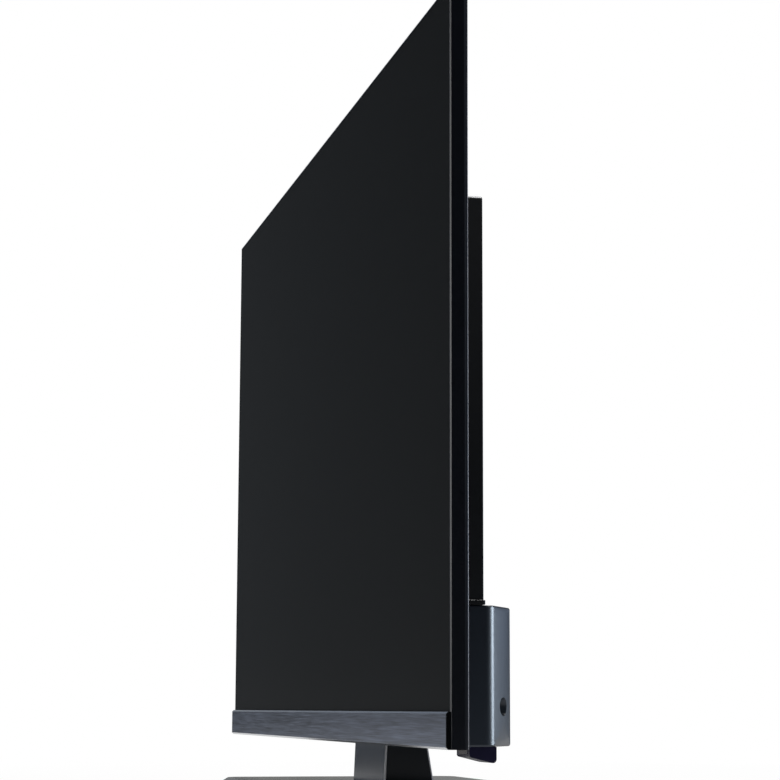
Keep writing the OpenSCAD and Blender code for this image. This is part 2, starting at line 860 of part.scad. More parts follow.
chip_mid = [main_x[0] + 0.62 * main_w, (main_z[0] + main_z[1]) / 2];
chip_w = 32;
chip_t = 2;
memory_x = 54;
memory_w = 12;
memory_h = 14;
memory_t = 1.2;
memory_pitch = 20;
can_x = 20;
can_r = 4;
can_h = 11;
can_pitch = 24;
coil_x = 34;
coil_w = 12;
coil_h = 5;
coil_pitch = 30;
parts_low = 30;

module main_chips() {
    color([0.1, 0.1, 0.11]) {
        block([chip_mid[0] - chip_w / 2, chip_mid[0] + chip_w / 2], [board_back, board_back + chip_t],
            [chip_mid[1] - chip_w / 2, chip_mid[1] + chip_w / 2]);
        for (i = [0:3])
            let (x = chip_mid[0] - memory_x, z = chip_mid[1] + (i - 2) * memory_pitch)
                block([x - memory_w, x], [board_back, board_back + memory_t], [z, z + memory_h]);
        for (i = [0:4])
            rod([main_x[1] - can_x, main_z[0] + parts_low + can_pitch * i], can_r,
                [board_back, board_back + can_h]);
        for (i = [0:2])
            let (x = main_x[1] - coil_x, z = main_z[0] + parts_low + coil_pitch * i)
                block([x - coil_w, x], [board_back, board_back + coil_h], [z, z + coil_w]);
    }
}

module main_heatsink() {
    fins = 9;
    w = 56;
    color([0.2, 0.2, 0.21])
        union() {
            block([chip_mid[0] - w / 2, chip_mid[0] + w / 2], [board_back + chip_t, board_back + chip_t + 3],
                [chip_mid[1] - w / 2, chip_mid[1] + w / 2]);
            for (i = [0:fins - 1])
                let (x = chip_mid[0] - w / 2 + i * (w - 1.6) / (fins - 1))
                    block([x, x + 1.6], [board_back + chip_t + 2.9, board_back + chip_t + 15],
                        [chip_mid[1] - w / 2, chip_mid[1] + w / 2]);
        }
}

// Transformers, capacitors, a coil and two cooling plates, at shares of the power board's sides
module power_parts() {
    b = board_back;
    tall = 24;
    function at_x(f) = power_x[0] + f * power_w;
    function at_z(f) = power_z[0] + f * power_h;
    color([0.25, 0.22, 0.15]) {
        block([at_x(0.33), at_x(0.53)], [b, b + tall], [at_z(0.31), at_z(0.58)]);
        block([at_x(0.33), at_x(0.47)], [b, b + 20], [at_z(0.67), at_z(0.85)]);
        for (f = [0.25, 0.69]) cross_rod(b + 11.2, at_z(f), 11, [at_x(0.61), at_x(0.79)]);
        for (i = [0:4]) rod([at_x(0.115), at_z(0.16 + 0.14 * i)], 5, [b, b + 18]);
        block([at_x(0.21), at_x(0.224)], [b, b + tall], [at_z(0.25), at_z(0.69)]);
        block([at_x(0.56), at_x(0.574)], [b, b + tall], [at_z(0.25), at_z(0.6)]);
        rod([at_x(0.885), at_z(0.28)], 11, [b, b + 14]);
        block([at_x(0.84), at_x(0.93)], [b, b + 12], [at_z(0.45), at_z(0.53)]);
        block([at_x(0.86), at_x(0.93)], [b, b + plug_h], [at_z(0.09), at_z(0.16)]);
    }
}

// Hollow shell open to the left, standing on the main board
module shell(size, z, deep, floor_t) {
    x = [socket_front, socket_front + size[2]];
    difference() {
        block(x, [board_back, board_back + size[1]], [z - size[0] / 2, z + size[0] / 2]);
        block([x[0] - 1, x[0] + deep], [board_back + floor_t, board_back + size[1] - socket_wall],
            [z - size[0] / 2 + socket_wall, z + size[0] / 2 - socket_wall]);
    }
}

module hdmi_sockets() {
    color([0.6, 0.6, 0.6])
        for (z = hdmi_z)
            union() {
                shell(hdmi_size, z, 10, 1);
                block([socket_front + 2, socket_front + 10.1], [board_back + 2.9, board_back + 3.8],
                    [z - 5.5, z + 5.5]);
            }
}

module usb_sockets() {
    color([0.6, 0.6, 0.6])
        for (z = usb_z)
            union() {
                shell(usb_size, z, 12, 1);
                block([socket_front + 1.5, socket_front + 12.1], [board_back + 1.4, board_back + 3.2],
                    [z - 5.6, z + 5.6]);
            }
}

module network_socket() {
    color([0.6, 0.6, 0.6]) shell(network_size, network_z, 15, 2);
}

module optical_socket() {
    color([0.1, 0.1, 0.1]) shell(optical_size, optical_z, 6, 1.5);
}

module headphone_socket() {
    mid = board_back + jack_size[1] / 2;
    color([0.1, 0.1, 0.1])
        difference() {
            block([socket_front, socket_front + jack_size[2]], [board_back, board_back + jack_size[1]],
                [jack_z - jack_size[0] / 2, jack_z + jack_size[0] / 2]);
            cross_rod(mid, jack_z, 1.8, [socket_front - 1, socket_front + 12]);
        }
}

// Threaded aerial barrel on a block
module aerial_socket() {
    mid = board_back + aerial_size[1] / 2;
    color([0.75, 0.7, 0.55])
        difference() {
            union() {
                block([socket_front + 4, socket_front + 4 + aerial_size[2]],
                    [board_back, board_back + aerial_size[1]],
                    [aerial_z - aerial_size[0] / 2, aerial_z + aerial_size[0] / 2]);
                cross_rod(mid, aerial_z, aerial_r, [socket_front - 8, socket_front + 5]);
            }
            cross_rod(mid, aerial_z, 1, [socket_front - 9, socket_front]);
        }
}

// Steel plate with a cut-out for each socket and a foot under the main board
module socket_plate() {
    x = [plate_x[0] - 1, plate_x[1] + 1];
    function window(size, z) = [z - size[0] / 2 - fit, z + size[0] / 2 + fit];
    function windows() = concat(
        [for (z = hdmi_z) [hdmi_size, z]], [for (z = usb_z) [usb_size, z]],
        [[network_size, network_z], [optical_size, optical_z], [jack_size, jack_z]]);
    color([0.5, 0.5, 0.52])
        difference() {
            union() {
                block(plate_x, [board_d - 1, board_back + 18.5], [main_z[0] + 2, main_z[1] - 1]);
                block([plate_x[0], main_x[0] + 3], [board_d - 1, board_d], [main_z[0] + 14, main_z[1] - 14]);
            }
            for (w = windows())
                block(x, [board_back - fit, board_back + w[0][1] + fit], window(w[0], w[1]));
            cross_rod(board_back + aerial_size[1] / 2, aerial_z, aerial_r + fit, x);
        }
}

// Two pin inlet: a flanged body with a waisted recess
module mains_inlet() {
    x = [inlet_x - inlet_w / 2, inlet_x + inlet_w / 2];
    z = [inlet_z - inlet_h / 2, inlet_z + inlet_h / 2];
    inner = box_depth - cover_t;
    recess = [box_depth - inlet_deep, box_depth + 1];
    color([0.05, 0.05, 0.05])
        difference() {
            union() {
                block(x, [inner - inlet_len, box_depth], z);
                block([x[0] - inlet_flange, x[1] + inlet_flange], [inner - inlet_flange, inner],
                    [z[0] - inlet_flange, z[1] + inlet_flange]);
            }
            difference() {
                union() {
                    for (s = [-1, 1]) rod([inlet_x + s * pin_x, inlet_z], 4.2, recess);
                    block([inlet_x - pin_x, inlet_x + pin_x], recess, [inlet_z - 3, inlet_z + 3]);
                }
                for (s = [-1, 1]) rod([inlet_x + s * pin_x, inlet_z], pin_r, [recess[0] - 1, box_depth - 2]);
            }
        }
}

module wireless_module() {
    color([0.1, 0.35, 0.2])
        union() {
            board(boards[3]);
            block([radio_x[0] + 10, radio_x[1] - 10], [board_back - 0.1, board_back + 2.2],
                [radio_z[0] + 3, radio_z[1] - 3]);
        }
}

// Speaker box with a hole for the driver in its floor
module speaker_right() {
    color([0.09, 0.09, 0.1])
        difference() {
            sheet(round_rect(speaker_x, [speaker_z, speaker_z + speaker_h], 4),
                [speaker_y, speaker_y + speaker_d]);
            block([speaker_x[0] + 2, speaker_x[1] - 2], [speaker_y + 2, speaker_y + speaker_d - 2],
                [speaker_z + 4, speaker_z + speaker_h - 2]);
            upright(driver_x, driver_mid, driver_r, [speaker_z - 1, speaker_z + 5]);
        }
}

module speaker_left() {
    mirror([1, 0, 0]) speaker_right();
}

// Cone, surround and magnet of each driver, facing down
module speaker_drivers() {
    rim = speaker_z + 4;
    cap_r = 5;
    magnet_r = 11;
    magnet_top = 20;
    color([0.15, 0.15, 0.15])
        both_sides()
            translate([driver_x, screen_y + driver_mid, rim])
                rotate_extrude()
                    polygon([[0, 4], [cap_r, 6], [driver_r - 3, 0], [driver_r + 2, 0], [driver_r + 2, 2],
                        [driver_r - 1, 3], [magnet_r, magnet_top / 2], [magnet_r, magnet_top],
                        [0, magnet_top]]);
}

// Flat ribbons from the timing board, down behind the back plate and under its edge
module panel_ribbons() {
    ribbon = 0.4;
    low = driver_z + 3;
    back = board_back + 1.2;
    line = [[driver_d + driver_t, low], [plate_back + 4, low], [plate_back + 4, timing_z[0] - 12],
        [back, timing_z[0] - 6], [back, timing_z[0] + 1]];
    color([0.85, 0.85, 0.85])
        for (s = [-1, 1])
            bar(offset_line(line, ribbon), [s * ribbon_x - ribbon_w / 2, s * ribbon_x + ribbon_w / 2]);
}

// Leads from the main board to the two speakers
module speaker_leads() {
    r = 1.1;
    y = screen_y + board_back + 9;
    start = [main_x[1] - 12, screen_y + board_back + r + fit, main_z[0] + 14];
    hang = [start[0], y, main_z[0] - 10];
    left = [-driver_x, screen_y + driver_mid, speaker_z + speaker_h + r + fit];
    right = [driver_x, left[1], left[2]];
    color([0.6, 0.1, 0.1]) {
        lead([start, start + [0, 6, -6], hang, [left[0] + 14, y, left[2] + 16], [left[0], left[1], left[2]],
            left + [-24, 0, 0]], r);
        lead([start + [6, 0, 0], start + [6, 6, -6], hang + [8, 4, 4], [-60, y + 10, box_top + 10],
            [60, y + 10, box_top + 10], [back_well_x + 36, y + 10, box_top + 8],
            [right[0] - 14, y + 8, right[2] + 16], right, right + [24, 0, 0]], r);
    }
}

// Pair of wires from the mains inlet to the power board
module mains_lead() {
    r = 1.6;
    inner = screen_y + box_depth - cover_t - inlet_len - r - 0.2;
    land_y = screen_y + board_back + plug_h + r + 0.2;
    land = [power_x[0] + 0.895 * power_w, land_y, power_z[0] + 0.125 * power_h];
    color([0.1, 0.1, 0.12])
        for (s = [-1, 1])
            lead([[inlet_x + s * pin_x, inner, inlet_z - 5], [inlet_x + s * pin_x, inner, inlet_z + 4],
                [inlet_x + s * pin_x, screen_y + shelf_d - 5, inlet_z + 14],
                [inlet_x + s * pin_x + 10, screen_y + shelf_d - 9, bump_z + 20],
                [land[0] + s * 4, land[1] + 3, power_z[0] - 6], land + [s * 4, 0, 0]], r);
}

// Stand

// Folded bracket on the back plate that takes the post
module stand_bracket() {
    face = [post_d - bracket_t, post_d];
    color([0.55, 0.56, 0.58])
        difference() {
            union() {
                block([-bracket_x, bracket_x], face, bracket_z);
                both_sides() {
                    block([bracket_x - bracket_t, bracket_x], [plate_back, post_d - 0.1], bracket_z);
                    block([bracket_x - 0.1, bracket_x + bracket_flange],
                        [plate_back, plate_back + bracket_foot_t], bracket_z);
                }
            }
            for (p = neck_screws_at) rod(p, neck_screw_r + 0.1, [post_d - bracket_t - 1, post_d + 1]);
            for (p = bracket_screws_at)
                rod(p, bracket_screw_r + 0.1, [plate_back - 1, plate_back + bracket_foot_t + 1]);
        }
}

module bracket_screws() {
    color([0.75, 0.75, 0.75])
        for (p = bracket_screws_at)
            screw(p, 4, 2.4, bracket_screw_r, plate_back + bracket_foot_t, bracket_foot_t + back_t - 0.1);
}

// Steel post welded to a foot that lies on the base plate
module stand_post() {
    color([0.5, 0.51, 0.53])
        difference() {
            union() {
                block([-post_w / 2, post_w / 2], [post_d, post_d + post_t], [foot_z, set_z + post_reach]);
                block([-post_w / 2, post_w / 2], [foot_d, post_d + 0.1], [foot_z, foot_z + 3]);
            }
            for (p = neck_screws_at) rod(p, neck_screw_r + 0.2, [post_d - 1, post_d + post_t + 1]);
            for (p = base_screws_at) upright(p[0], p[1], base_screw_r + 0.1, [foot_z - 1, foot_z + 4]);
        }
}

module neck_screws() {
    color([0.2, 0.2, 0.2])
        for (p = neck_screws_at) screw(p, 4.5, 3, neck_screw_r, post_d + post_t, post_t + bracket_t + 6);
}

function neck_outline(front, back) = let (x = neck_w / 2, c = neck_chamfer) [
    [-x + c, front], [x - c, front], [x, front + c], [x, back - c],
    [x - c, back], [-x + c, back], [-x, back - c], [-x, front + c]];

// Cast neck, wider from front to back at its foot, with a slot for the post
module stand_neck() {
    slice = 0.5;
    z = [base_h, set_z - seam];
    color([0.2, 0.21, 0.23])
        difference() {
            hull() {
                translate([0, screen_y, z[0]])
                    linear_extrude(height = slice)
                        polygon(neck_outline(neck_front - neck_toe, neck_back + neck_heel));
                translate([0, screen_y, z[1] - slice])
                    linear_extrude(height = slice)
                        polygon(neck_outline(neck_front, neck_back));
            }
            block([-post_w / 2 - fit, post_w / 2 + fit], [post_d - fit, post_d + post_t + fit], [0, set_z]);
        }
}

// Moulded top of the base: an upright rim, a sloping border and ribs underneath
module base_cover() {
    x = base_w / 2 - base_corner;
    y = base_d / 2 - base_corner;
    inner_x = base_w / 2 - plate_margin;
    inner_y = base_d / 2 - plate_margin;
    inner_r = base_corner - plate_margin;
    cell_x = post_w / 2 + 6;
    roof = base_h - base_wall;
    low_x = inner_x - base_bevel;
    low_y = inner_y - base_bevel;
    color([0.16, 0.165, 0.175])
        difference() {
            hull()
                for (sx = [-1, 1], sy = [-1, 1])
                    translate([sx * x, sy * y, pad_t]) {
                        cylinder(r = base_corner, h = base_rim);
                        cylinder(r = base_corner - base_bevel, h = base_h - pad_t);
                    }
            translate([0, 0, pad_t - 1])
                linear_extrude(height = plate_t + 1)
                    polygon(round_rect([-inner_x, inner_x], [-inner_y, inner_y], inner_r));
            for (cell = [[-low_x, -cell_x - 2], [-cell_x, cell_x], [cell_x + 2, low_x]])
                translate([cell[0], -low_y, foot_z - 1])
                    cube([cell[1] - cell[0], 2 * low_y, roof - foot_z + 1]);
            block([-post_w / 2 - fit, post_w / 2 + fit], [post_d - fit, post_d + post_t + fit],
                [foot_z, base_h + 1]);
        }
}

module base_plate() {
    x = base_w / 2 - plate_margin - fit;
    y = base_d / 2 - plate_margin - fit;
    color([0.45, 0.46, 0.48])
        difference() {
            translate([0, 0, pad_t])
                linear_extrude(height = plate_t)
                    polygon(round_rect([-x, x], [-y, y], base_corner - plate_margin - fit));
            for (p = base_screws_at) upright(p[0], p[1], base_screw_r + 0.2, [0, foot_z + 1]);
        }
}

module base_screws() {
    color([0.75, 0.75, 0.75])
        for (p = base_screws_at) {
            upright(p[0], p[1], 4, [0.3, pad_t]);
            upright(p[0], p[1], base_screw_r, [pad_t - 0.1, foot_z + 3]);
        }
}

module base_pads() {
    color([0.06, 0.06, 0.06])
        for (p = pads_at)
            translate([p[0], p[1], 0])
                cylinder(r = pad_r, h = pad_t);
}

// Control pod

// Slanted underside of the pod, lowered by a margin
function pod_under(d, margin) = set_z - pod_drop - pod_fall * (d - pod_front) / pod_len - margin;

module control_pod() {
    heel = 3;
    toe = pod_under(pod_front, 0);
    cavity = [pod_x[0] + pod_wall, pod_x[1] - pod_wall];
    color([0.13, 0.14, 0.16])
        difference() {
            bar(concat([[pod_front, set_z], [pod_front, toe + 1], [pod_front + 1, toe]],
                arc([pod_back - heel, pod_under(pod_back, 0) + heel], heel, -100, 0),
                [[pod_back, set_z]]), pod_x);
            block(cavity, [pod_front + pod_wall, pod_back - pod_wall], [pod_floor, set_z + 1]);
            upright(pod_mid, key_d, key_r + run, [set_z - 30, set_z]);
            block([pod_mid - window_w / 2 - 0.15, pod_mid + window_w / 2 + 0.15],
                [pod_front - 1, pod_front + pod_wall + 1], [window_z - 0.15, window_z + window_h + 0.15]);
        }
}

module sensor_window() {
    color([0.15, 0.02, 0.02])
        block([pod_mid - window_w / 2, pod_mid + window_w / 2],
            [pod_front - 0.2, pod_front + pod_wall - 0.2], [window_z, window_z + window_h]);
}

// Small board with the key's switch and the receiver behind the window
module sensor_board() {
    z = switch_z + switch_h;
    color([0.1, 0.35, 0.2])
        difference() {
            union() {
                block([pod_x[0] + pod_wall + fit, pod_x[1] - pod_wall - fit],
                    [pod_front + pod_wall + fit, pod_back - pod_wall - fit], [z, z + sensor_t]);
                block([pod_mid - switch_w / 2, pod_mid + switch_w / 2],
                    [key_d - switch_w / 2, key_d + switch_w / 2], [switch_z, z + 0.1]);
                block([pod_mid + 7, pod_mid + 13], [pod_front + pod_wall + fit, pod_front + pod_wall + 4],
                    [pod_floor + 0.6, z + 0.1]);
            }
            upright(pod_mid, key_d, key_stem_r + fit, [switch_z - 1, z]);
        }
}

// Key that slides up in the pod's floor and pushes the switch
module power_key() {
    color([0.2, 0.21, 0.22])
        difference() {
            union() {
                upright(pod_mid, key_d, key_r, [set_z - 20, key_z + 0.1]);
                upright(pod_mid, key_d, key_r + 1.2, [key_z, key_z + key_flange]);
                upright(pod_mid, key_d, key_stem_r, [key_z + key_flange - 0.1, switch_z + 0.5]);
            }
            bar([[pod_front - 10, pod_under(pod_front - 10, 0.2)],
                [pod_back + 10, pod_under(pod_back + 10, 0.2)],
                [pod_back + 10, set_z - 40], [pod_front - 10, set_z - 40]], [pod_mid - 10, pod_mid + 10]);
        }
}

lcd_panel();
driver_films();
driver_boards();
polarizing_film();
prism_sheet();
diffuser_sheet();
light_guide();
reflector_sheet();
led_bar();
led_heatsink();
mid_frame();
back_plate();
trim_left();
trim_right();
trim_top();
bottom_strip();
strip_carrier();
rear_cover();
rear_cover_screws();
lower_cover();
lower_cover_screws();
cover_posts();
vesa_posts();
main_board();
main_chips();
main_heatsink();
power_board();
power_parts();
timing_board();
board_posts();
board_screws();
socket_plate();
hdmi_sockets();
usb_sockets();
network_socket();
aerial_socket();
optical_socket();
headphone_socket();
mains_inlet();
wireless_module();
speaker_left();
speaker_right();
speaker_drivers();
panel_ribbons();
speaker_leads();
mains_lead();
stand_bracket();
bracket_screws();
stand_post();
neck_screws();
stand_neck();
base_cover();
base_plate();
base_screws();
base_pads();
control_pod();
sensor_window();
sensor_board();
power_key();
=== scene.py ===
import json
import math
import bmesh
import bpy
from mathutils import Matrix, Vector

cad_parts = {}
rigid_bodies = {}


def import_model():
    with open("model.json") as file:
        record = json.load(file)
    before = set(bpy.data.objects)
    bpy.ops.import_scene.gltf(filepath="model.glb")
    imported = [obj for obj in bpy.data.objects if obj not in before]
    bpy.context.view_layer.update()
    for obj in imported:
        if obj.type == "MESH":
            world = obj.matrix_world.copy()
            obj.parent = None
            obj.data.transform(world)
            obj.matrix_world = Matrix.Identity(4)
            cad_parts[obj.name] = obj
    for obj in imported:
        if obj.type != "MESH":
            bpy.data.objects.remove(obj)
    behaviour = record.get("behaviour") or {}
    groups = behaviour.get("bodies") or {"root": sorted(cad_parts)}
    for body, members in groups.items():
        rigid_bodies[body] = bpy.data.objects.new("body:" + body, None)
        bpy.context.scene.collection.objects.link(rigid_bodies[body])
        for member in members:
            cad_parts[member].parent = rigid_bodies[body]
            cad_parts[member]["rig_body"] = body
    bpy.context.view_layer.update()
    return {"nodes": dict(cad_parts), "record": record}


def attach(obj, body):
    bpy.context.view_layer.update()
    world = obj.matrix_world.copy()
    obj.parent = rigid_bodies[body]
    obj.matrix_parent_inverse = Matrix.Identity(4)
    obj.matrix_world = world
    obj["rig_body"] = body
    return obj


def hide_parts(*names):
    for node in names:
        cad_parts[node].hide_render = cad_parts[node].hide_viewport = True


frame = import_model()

nodes = frame["nodes"]
slotOf = {row["node"]: row["material_slot"] for row in frame["record"]["subparts"]}
mm = 0.001
mergeGap = 0.001 * mm  # loose triangles of a solid are joined within this
hairline = 0.01 * mm  # smaller lengths count as none
print("frame:", len(nodes), "nodes")


# camera, beside the right-hand end of the screen and low
cameraSetup = {
    "place": (1.95806, -0.45680, 0.08004),  # metres
    "yaw": 0.2312,  # radians
    "pitch": 0.1492,
    "roll": 0.0035,
    "lens": 97.99,  # mm on the sensor below
    "sensor": 36.0,
    "clip": (0.01, 60),  # metres
}


def placeCamera(setup):
    yaw, pitch, roll = setup["yaw"], setup["pitch"], setup["roll"]
    level = math.cos(pitch)
    forward = Vector((-math.cos(yaw) * level, math.sin(yaw) * level, math.sin(pitch)))
    right = Vector((math.sin(yaw), math.cos(yaw), 0))
    up = right.cross(forward)
    side = right * math.cos(roll) + up * math.sin(roll)
    top = up * math.cos(roll) - right * math.sin(roll)
    data = bpy.data.cameras.new("photoCamera")
    data.lens = setup["lens"]
    data.sensor_width = setup["sensor"]
    data.clip_start, data.clip_end = setup["clip"]
    camera = bpy.data.objects.new("photoCamera", data)
    bpy.context.scene.collection.objects.link(camera)
    matrix = Matrix((side, top, -forward)).transposed().to_4x4()
    matrix.translation = Vector(setup["place"])
    camera.matrix_world = matrix
    bpy.context.scene.camera = camera


placeCamera(cameraSetup)
print("camera placed")


# shader helpers
def wire(tree, fromNode, fromSocket, toNode, toSocket):
    tree.links.new(fromNode.outputs[fromSocket], toNode.inputs[toSocket])


def mathNode(tree, operation, first=None, second=None):
    node = tree.nodes.new("ShaderNodeMath")
    node.operation = operation
    for index, value in enumerate((first, second)):
        if isinstance(value, (int, float)):
            node.inputs[index].default_value = value
        elif value is not None:
            tree.links.new(value, node.inputs[index])
    return node.outputs[0]


def mapRange(tree, value, fromRange, toRange):
    node = tree.nodes.new("ShaderNodeMapRange")
    node.interpolation_type = "SMOOTHSTEP"
    tree.links.new(value, node.inputs["Value"])
    node.inputs["From Min"].default_value, node.inputs["From Max"].default_value = fromRange
    node.inputs["To Min"].default_value, node.inputs["To Max"].default_value = toRange
    return node.outputs["Result"]


def mixColour(tree, share, first, second):
    node = tree.nodes.new("ShaderNodeMix")
    node.data_type = "RGBA"
    tree.links.new(share, node.inputs[0])
    colours = [socket for socket in node.inputs if socket.type == "RGBA"]
    for socket, value in zip(colours, (first, second)):
        if isinstance(value, tuple):
            socket.default_value = (*value, 1)
        else:
            tree.links.new(value, socket)
    return next(socket for socket in node.outputs if socket.type == "RGBA")


def newFinishGroup(name, own):
    # the sockets that all finishes share, and those of this kind's own
    group = bpy.data.node_groups.new(name, "ShaderNodeTree")
    inputs = {"Colour": "Color", "Tone Spread": "Float", "Roughness": "Float", "Rough Spread": "Float", **own}
    outputs = {"Colour": "Color", "Roughness": "Float", "Height": "Float"}
    for way, sockets in (("INPUT", inputs), ("OUTPUT", outputs)):
        for label, kind in sockets.items():
            group.interface.new_socket(label, in_out=way, socket_type="NodeSocket" + kind)
    return group, group.nodes.new("NodeGroupInput"), group.nodes.new("NodeGroupOutput")


noiseMiddle = 0.5


def toneAndRoughness(tree, source, broad, fine, setup, target):
    # colour and roughness both drift with the broad noise, and the fine one breaks them up
    drift = mathNode(tree, "MULTIPLY", mathNode(tree, "SUBTRACT", broad, noiseMiddle), setup["broad"])
    speck = mathNode(tree, "MULTIPLY", mathNode(tree, "SUBTRACT", fine, noiseMiddle), setup["fine"])
    both = mathNode(tree, "ADD", drift, speck)
    tone = mathNode(tree, "ADD", mathNode(tree, "MULTIPLY", both, source.outputs["Tone Spread"]), 1.0)
    scale = tree.nodes.new("ShaderNodeVectorMath")
    scale.operation = "SCALE"
    wire(tree, source, "Colour", scale, 0)
    tree.links.new(tone, scale.inputs["Scale"])
    wire(tree, scale, 0, target, "Colour")
    rough = mathNode(tree, "MULTIPLY", both, source.outputs["Rough Spread"])
    tree.links.new(mathNode(tree, "ADD", rough, source.outputs["Roughness"]), target.inputs["Roughness"])
    tree.links.new(fine, target.inputs["Height"])


grainSetup = {
    "broad": 1.0,  # shares of the two noises in the tone
    "fine": 0.5,
    "broadDetail": 4,
    "fineDetail": 2,
}


def makeMouldedGrain(setup):
    group, source, target = newFinishGroup("mouldedGrain", {"Grain": "Float", "Cloud": "Float"})
    coords = group.nodes.new("ShaderNodeTexCoord")
    outputs = []
    for label, detail in (("Cloud", setup["broadDetail"]), ("Grain", setup["fineDetail"])):
        noise = group.nodes.new("ShaderNodeTexNoise")
        noise.inputs["Detail"].default_value = detail
        wire(group, coords, "Object", noise, "Vector")
        wire(group, source, label, noise, "Scale")
        outputs.append(noise.outputs["Fac"])
    toneAndRoughness(group, source, *outputs, setup, target)
    return group


brushSetup = {
    "broad": 0.35,
    "fine": 1.0,
    "bandScale": 0.35,
    "scratchScale": 1.0,
    "detail": 3,
    "roughness": 0.6,
}


def makeBrushedLines(setup):
    group, source, target = newFinishGroup("brushedLines", {"Stretch": "Vector"})
    coords = group.nodes.new("ShaderNodeTexCoord")
    stretch = group.nodes.new("ShaderNodeVectorMath")
    stretch.operation = "MULTIPLY"
    wire(group, coords, "Object", stretch, 0)
    wire(group, source, "Stretch", stretch, 1)
    outputs = []
    for scale in (setup["bandScale"], setup["scratchScale"]):  # wide bands, then single scratches
        noise = group.nodes.new("ShaderNodeTexNoise")
        noise.inputs["Scale"].default_value = scale
        noise.inputs["Detail"].default_value = setup["detail"]
        noise.inputs["Roughness"].default_value = setup["roughness"]
        wire(group, stretch, 0, noise, "Vector")
        outputs.append(noise.outputs["Fac"])
    toneAndRoughness(group, source, *outputs, setup, target)
    return group


mouldedGrain = makeMouldedGrain(grainSetup)
brushedLines = makeBrushedLines(brushSetup)
plainLook = {  # what a finish has where it says nothing else
    "toneSpread": 0.25,
    "roughness": 0.5,
    "roughSpread": 0.15,
    "grain": 1800,
    "cloud": 6,
    "bump": 0.15,
    "bumpDepth": 0.05,  # mm
    "metal": 0,
    "specular": 0.5,
}


def makeFinish(name, ownLook):
    look = {**plainLook, **ownLook}
    material = bpy.data.materials.new(name)
    material.use_nodes = True
    tree = material.node_tree
    shader = tree.nodes["Principled BSDF"]
    detail = tree.nodes.new("ShaderNodeGroup")
    if "stretch" in look:
        detail.node_tree = brushedLines
        detail.inputs["Stretch"].default_value = look["stretch"]
    else:
        detail.node_tree = mouldedGrain
        detail.inputs["Grain"].default_value = look["grain"]
        detail.inputs["Cloud"].default_value = look["cloud"]
    detail.inputs["Colour"].default_value = (*look["colour"], 1)
    detail.inputs["Tone Spread"].default_value = look["toneSpread"]
    detail.inputs["Roughness"].default_value = look["roughness"]
    detail.inputs["Rough Spread"].default_value = look["roughSpread"]
    bump = tree.nodes.new("ShaderNodeBump")
    bump.inputs["Strength"].default_value = look["bump"]
    bump.inputs["Distance"].default_value = look["bumpDepth"] * mm
    wire(tree, detail, "Height", bump, "Height")
    wire(tree, bump, "Normal", shader, "Normal")
    colour, roughness = detail.outputs["Colour"], detail.outputs["Roughness"]
    if "paintedEdgeHighlight" in look:  # painted highlight: a paler colour and its own roughness on the bevel faces marked on the mesh
        mark = tree.nodes.new("ShaderNodeAttribute")
        mark.attribute_name = "paintedEdgeHighlight"
        cut = mark.outputs["Fac"]
        colour = mixColour(tree, cut, colour, look["paintedEdgeHighlight"]["colour"])
        plain = mathNode(tree, "MULTIPLY", roughness, mathNode(tree, "SUBTRACT", 1.0, cut))
        bright = mathNode(tree, "MULTIPLY", cut, look["paintedEdgeHighlight"]["roughness"])
        roughness = mathNode(tree, "ADD", plain, bright)
    tree.links.new(colour, shader.inputs["Base Color"])
    tree.links.new(roughness, shader.inputs["Roughness"])
    shader.inputs["Metallic"].default_value = look["metal"]
    shader.inputs["Specular IOR Level"].default_value = look["specular"]
    return material


# finishes the photograph shows
outsideLooks = {
    "screen": {"colour": (0.0136, 0.0147, 0.0156), "roughness": 0.55, "grain": 5200, "cloud": 1.6,
               "toneSpread": 0.12, "roughSpread": 0.08, "bump": 0.1, "specular": 0.02},
    "trim_black": {"colour": (0.0095, 0.0115, 0.0175), "roughness": 0.28, "grain": 3800, "bump": 0.03,
                   "specular": 0.42},
    "brushed_strip": {"colour": (0.163, 0.187, 0.244), "stretch": (20, 1200, 1200), "roughness": 0.4,
                      "toneSpread": 2.6, "roughSpread": 0.3, "bump": 0.2, "metal": 1.0,
                      # the paler edge colour below is a painted highlight along the strip's bevels
                      "paintedEdgeHighlight": {"colour": (0.32, 0.33, 0.35), "roughness": 0.22}},
    "gloss_black": {"colour": (0.004, 0.0045, 0.005), "roughness": 0.16, "roughSpread": 0.06, "bump": 0.04,
                    "specular": 0.4},
    "rear_plastic": {"colour": (0.0125, 0.015, 0.019), "roughness": 0.38, "grain": 1500, "bump": 0.35,
                     "specular": 0.32},
    "box_plastic": {"colour": (0.0175, 0.0255, 0.04), "roughness": 0.34, "grain": 1500, "bump": 0.3,
                    "specular": 0.36},
    "pod_plastic": {"colour": (0.022, 0.021, 0.05), "roughness": 0.15, "grain": 1700, "bump": 0.25,
                    "specular": 0.12},
    "neck_alloy": {"colour": (0.034, 0.039, 0.048), "roughness": 0.2, "grain": 2600, "bump": 0.1,
                   # the pale edge colour below is a painted highlight along the neck's chamfers
                   "specular": 0.25, "paintedEdgeHighlight": {"colour": (0.65, 0.66, 0.69), "roughness": 0.22}},
    "base_plastic": {"colour": (0.046, 0.046, 0.047), "roughness": 0.24, "grain": 2600, "bump": 0.1,
                     "specular": 0.5},
    "pad_rubber": {"colour": (0.012, 0.012, 0.012), "roughness": 0.85, "grain": 1200, "bump": 0.5,
                   "specular": 0.25},
    "key_plastic": {"colour": (0.02, 0.022, 0.026), "roughness": 0.3, "bump": 0.1},
    "sensor_acrylic": {"colour": (0.014, 0.004, 0.004), "roughness": 0.25, "roughSpread": 0.04, "bump": 0.02,
                       "specular": 0.3},
    "screw_black": {"colour": (0.02, 0.02, 0.021), "roughness": 0.38, "metal": 0.7, "bump": 0.12},
}

